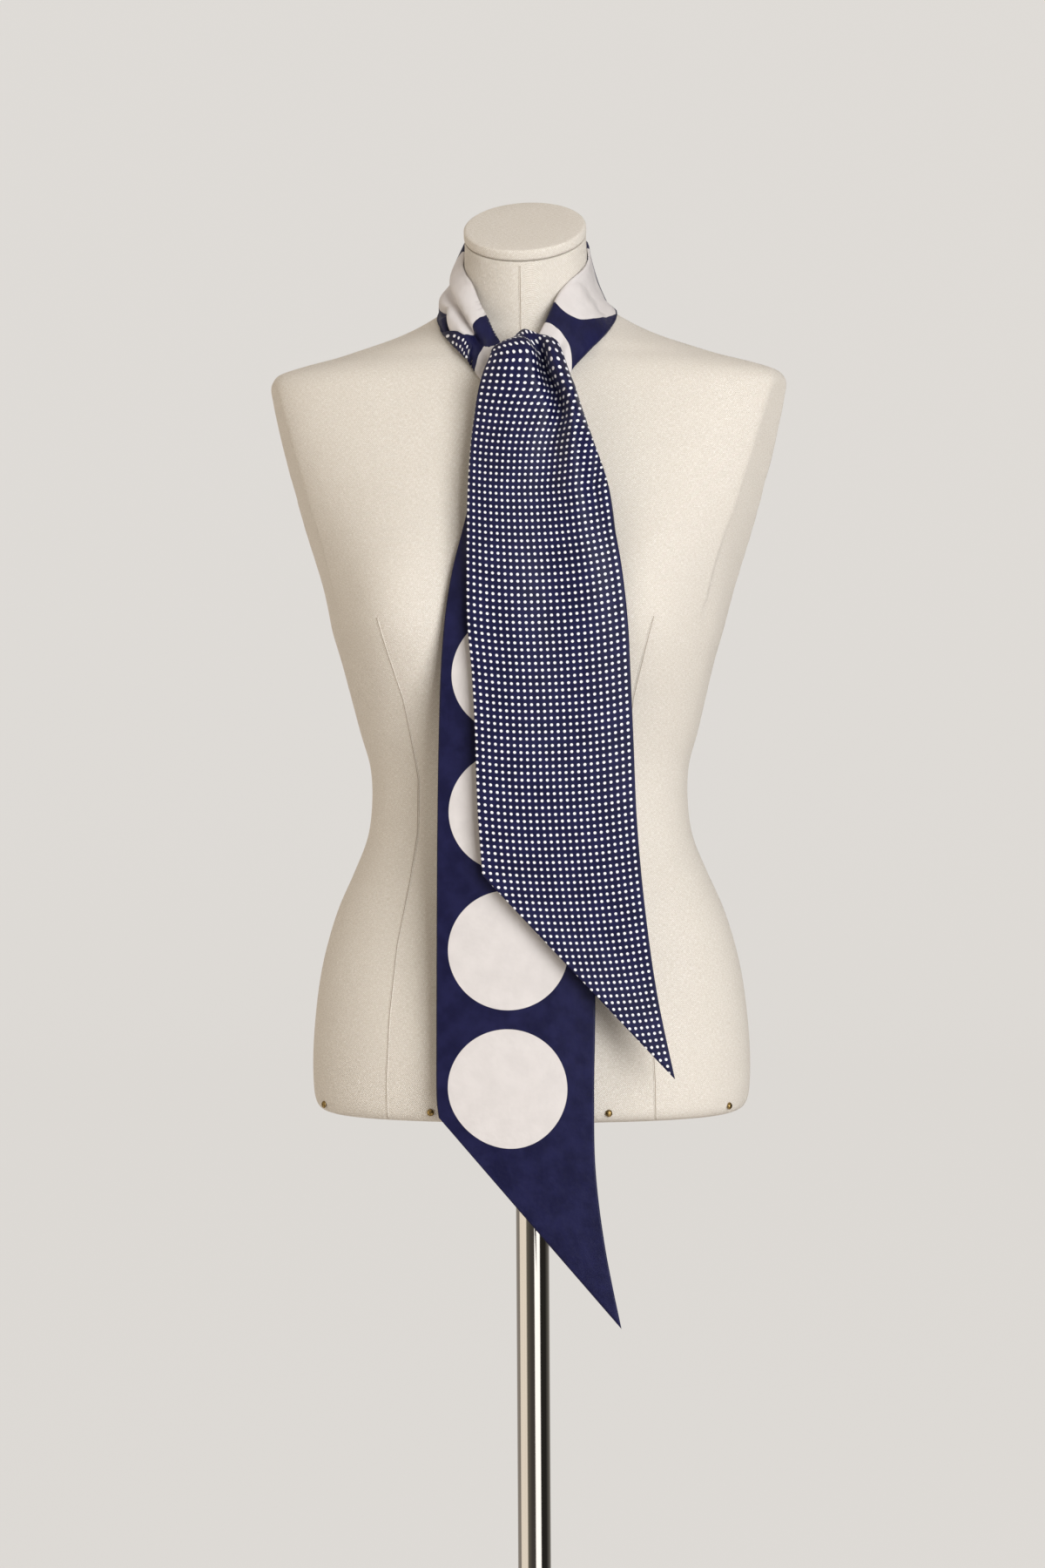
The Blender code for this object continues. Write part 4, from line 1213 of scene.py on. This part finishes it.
KEY_PLACE = (1.66, -2.56, 1.62)
KEY_TARGET = (0, 0, 1.15)
KEY_SIZE = (1.75, 1.9)
KEY_POWER = 75
KEY_COLOUR = (0.96, 0.98, 1.0)

# The room's light by compass direction in degrees, 0 in front of the form and 90 at its left hand:
# a warm wall at its right, a bright window half to its left, dark beside them and grey behind
RoomLight = namedtuple("RoomLight", "bearing red green blue")
ROOM_LIGHTS = rows_of(RoomLight, (
    (-180, 0.55, 0.53, 0.51), (-140, 0.40, 0.36, 0.32), (-102, 0.35, 0.31, 0.27), (-95, 1.32, 1.19, 1.02),
    (-44, 1.32, 1.19, 1.02), (-37, 0.20, 0.18, 0.14), (-10, 0.09, 0.08, 0.07), (14, 0.09, 0.08, 0.07),
    (18, 2.00, 1.95, 1.90), (52, 2.00, 1.95, 1.90), (57, 0.03, 0.028, 0.025), (100, 0.03, 0.028, 0.025),
    (140, 0.20, 0.19, 0.17), (165, 0.45, 0.43, 0.41), (180, 0.55, 0.53, 0.51),
))
ROOM_TOP = (0.70, 0.64, 0.58)
ROOM_LOW = (0.76, 0.68, 0.60)
ROOM_BLEND = (0.25, 0.95)


def make_room():
    """The light that the room sends from all round, which blends into its ceiling and floor."""
    world = bpy.data.worlds.new("studio_room")
    g = Graph(world)
    x, y, z = g.split(g.node("ShaderNodeTexCoord").outputs["Generated"])
    bearing = g.math("ARCTAN2", x, g.math("MULTIPLY", y, -1.0))
    around = g.node("ShaderNodeValToRGB")
    stops = around.color_ramp.elements
    while len(stops) < len(ROOM_LIGHTS):
        stops.new(0.5)
    for stop, light in zip(stops, ROOM_LIGHTS):
        stop.position = light.bearing / 360 + 0.5
        stop.color = (light.red, light.green, light.blue, 1.0)
    g.link(g.math("MULTIPLY_ADD", bearing, 1 / math.tau, 0.5), around.inputs[0])
    colour = around.outputs[0]
    low, high = ROOM_BLEND
    for side, far in ((1, ROOM_TOP), (-1, ROOM_LOW)):
        colour = g.mix(g.ramp(z, side * low, side * high, curve="LINEAR"), colour, far)
    g.link(colour, g.tree.nodes["Background"].inputs[0])
    bpy.context.scene.world = world


def make_lights():
    """One large soft key from the form's left, and the room."""
    data = bpy.data.lights.new("key", "AREA")
    data.shape = "RECTANGLE"
    data.size, data.size_y = KEY_SIZE
    data.energy = KEY_POWER
    data.color = KEY_COLOUR
    light = bpy.data.objects.new("key", data)
    place = Vector(KEY_PLACE)
    aim = (Vector(KEY_TARGET) - place).to_track_quat("-Z", "Y")
    light.matrix_world = Matrix.Translation(place) @ aim.to_matrix().to_4x4()
    bpy.context.scene.collection.objects.link(light)
    make_room()
    bpy.context.scene.view_settings.view_transform = "Standard"


def main():
    make_camera()
    make_stage()
    make_lights()
    cover = linen("linen_cover")
    torso = make_torso(cover)
    tree = tree_of(torso)
    make_cap(cover)
    make_seams(tree, linen("linen_seam", seam=True))
    make_nails(brass())
    make_stand(brushed_steel("steel_brushed_along", False), brushed_steel("steel_brushed_round", True))
    make_scarf(tree)


main()
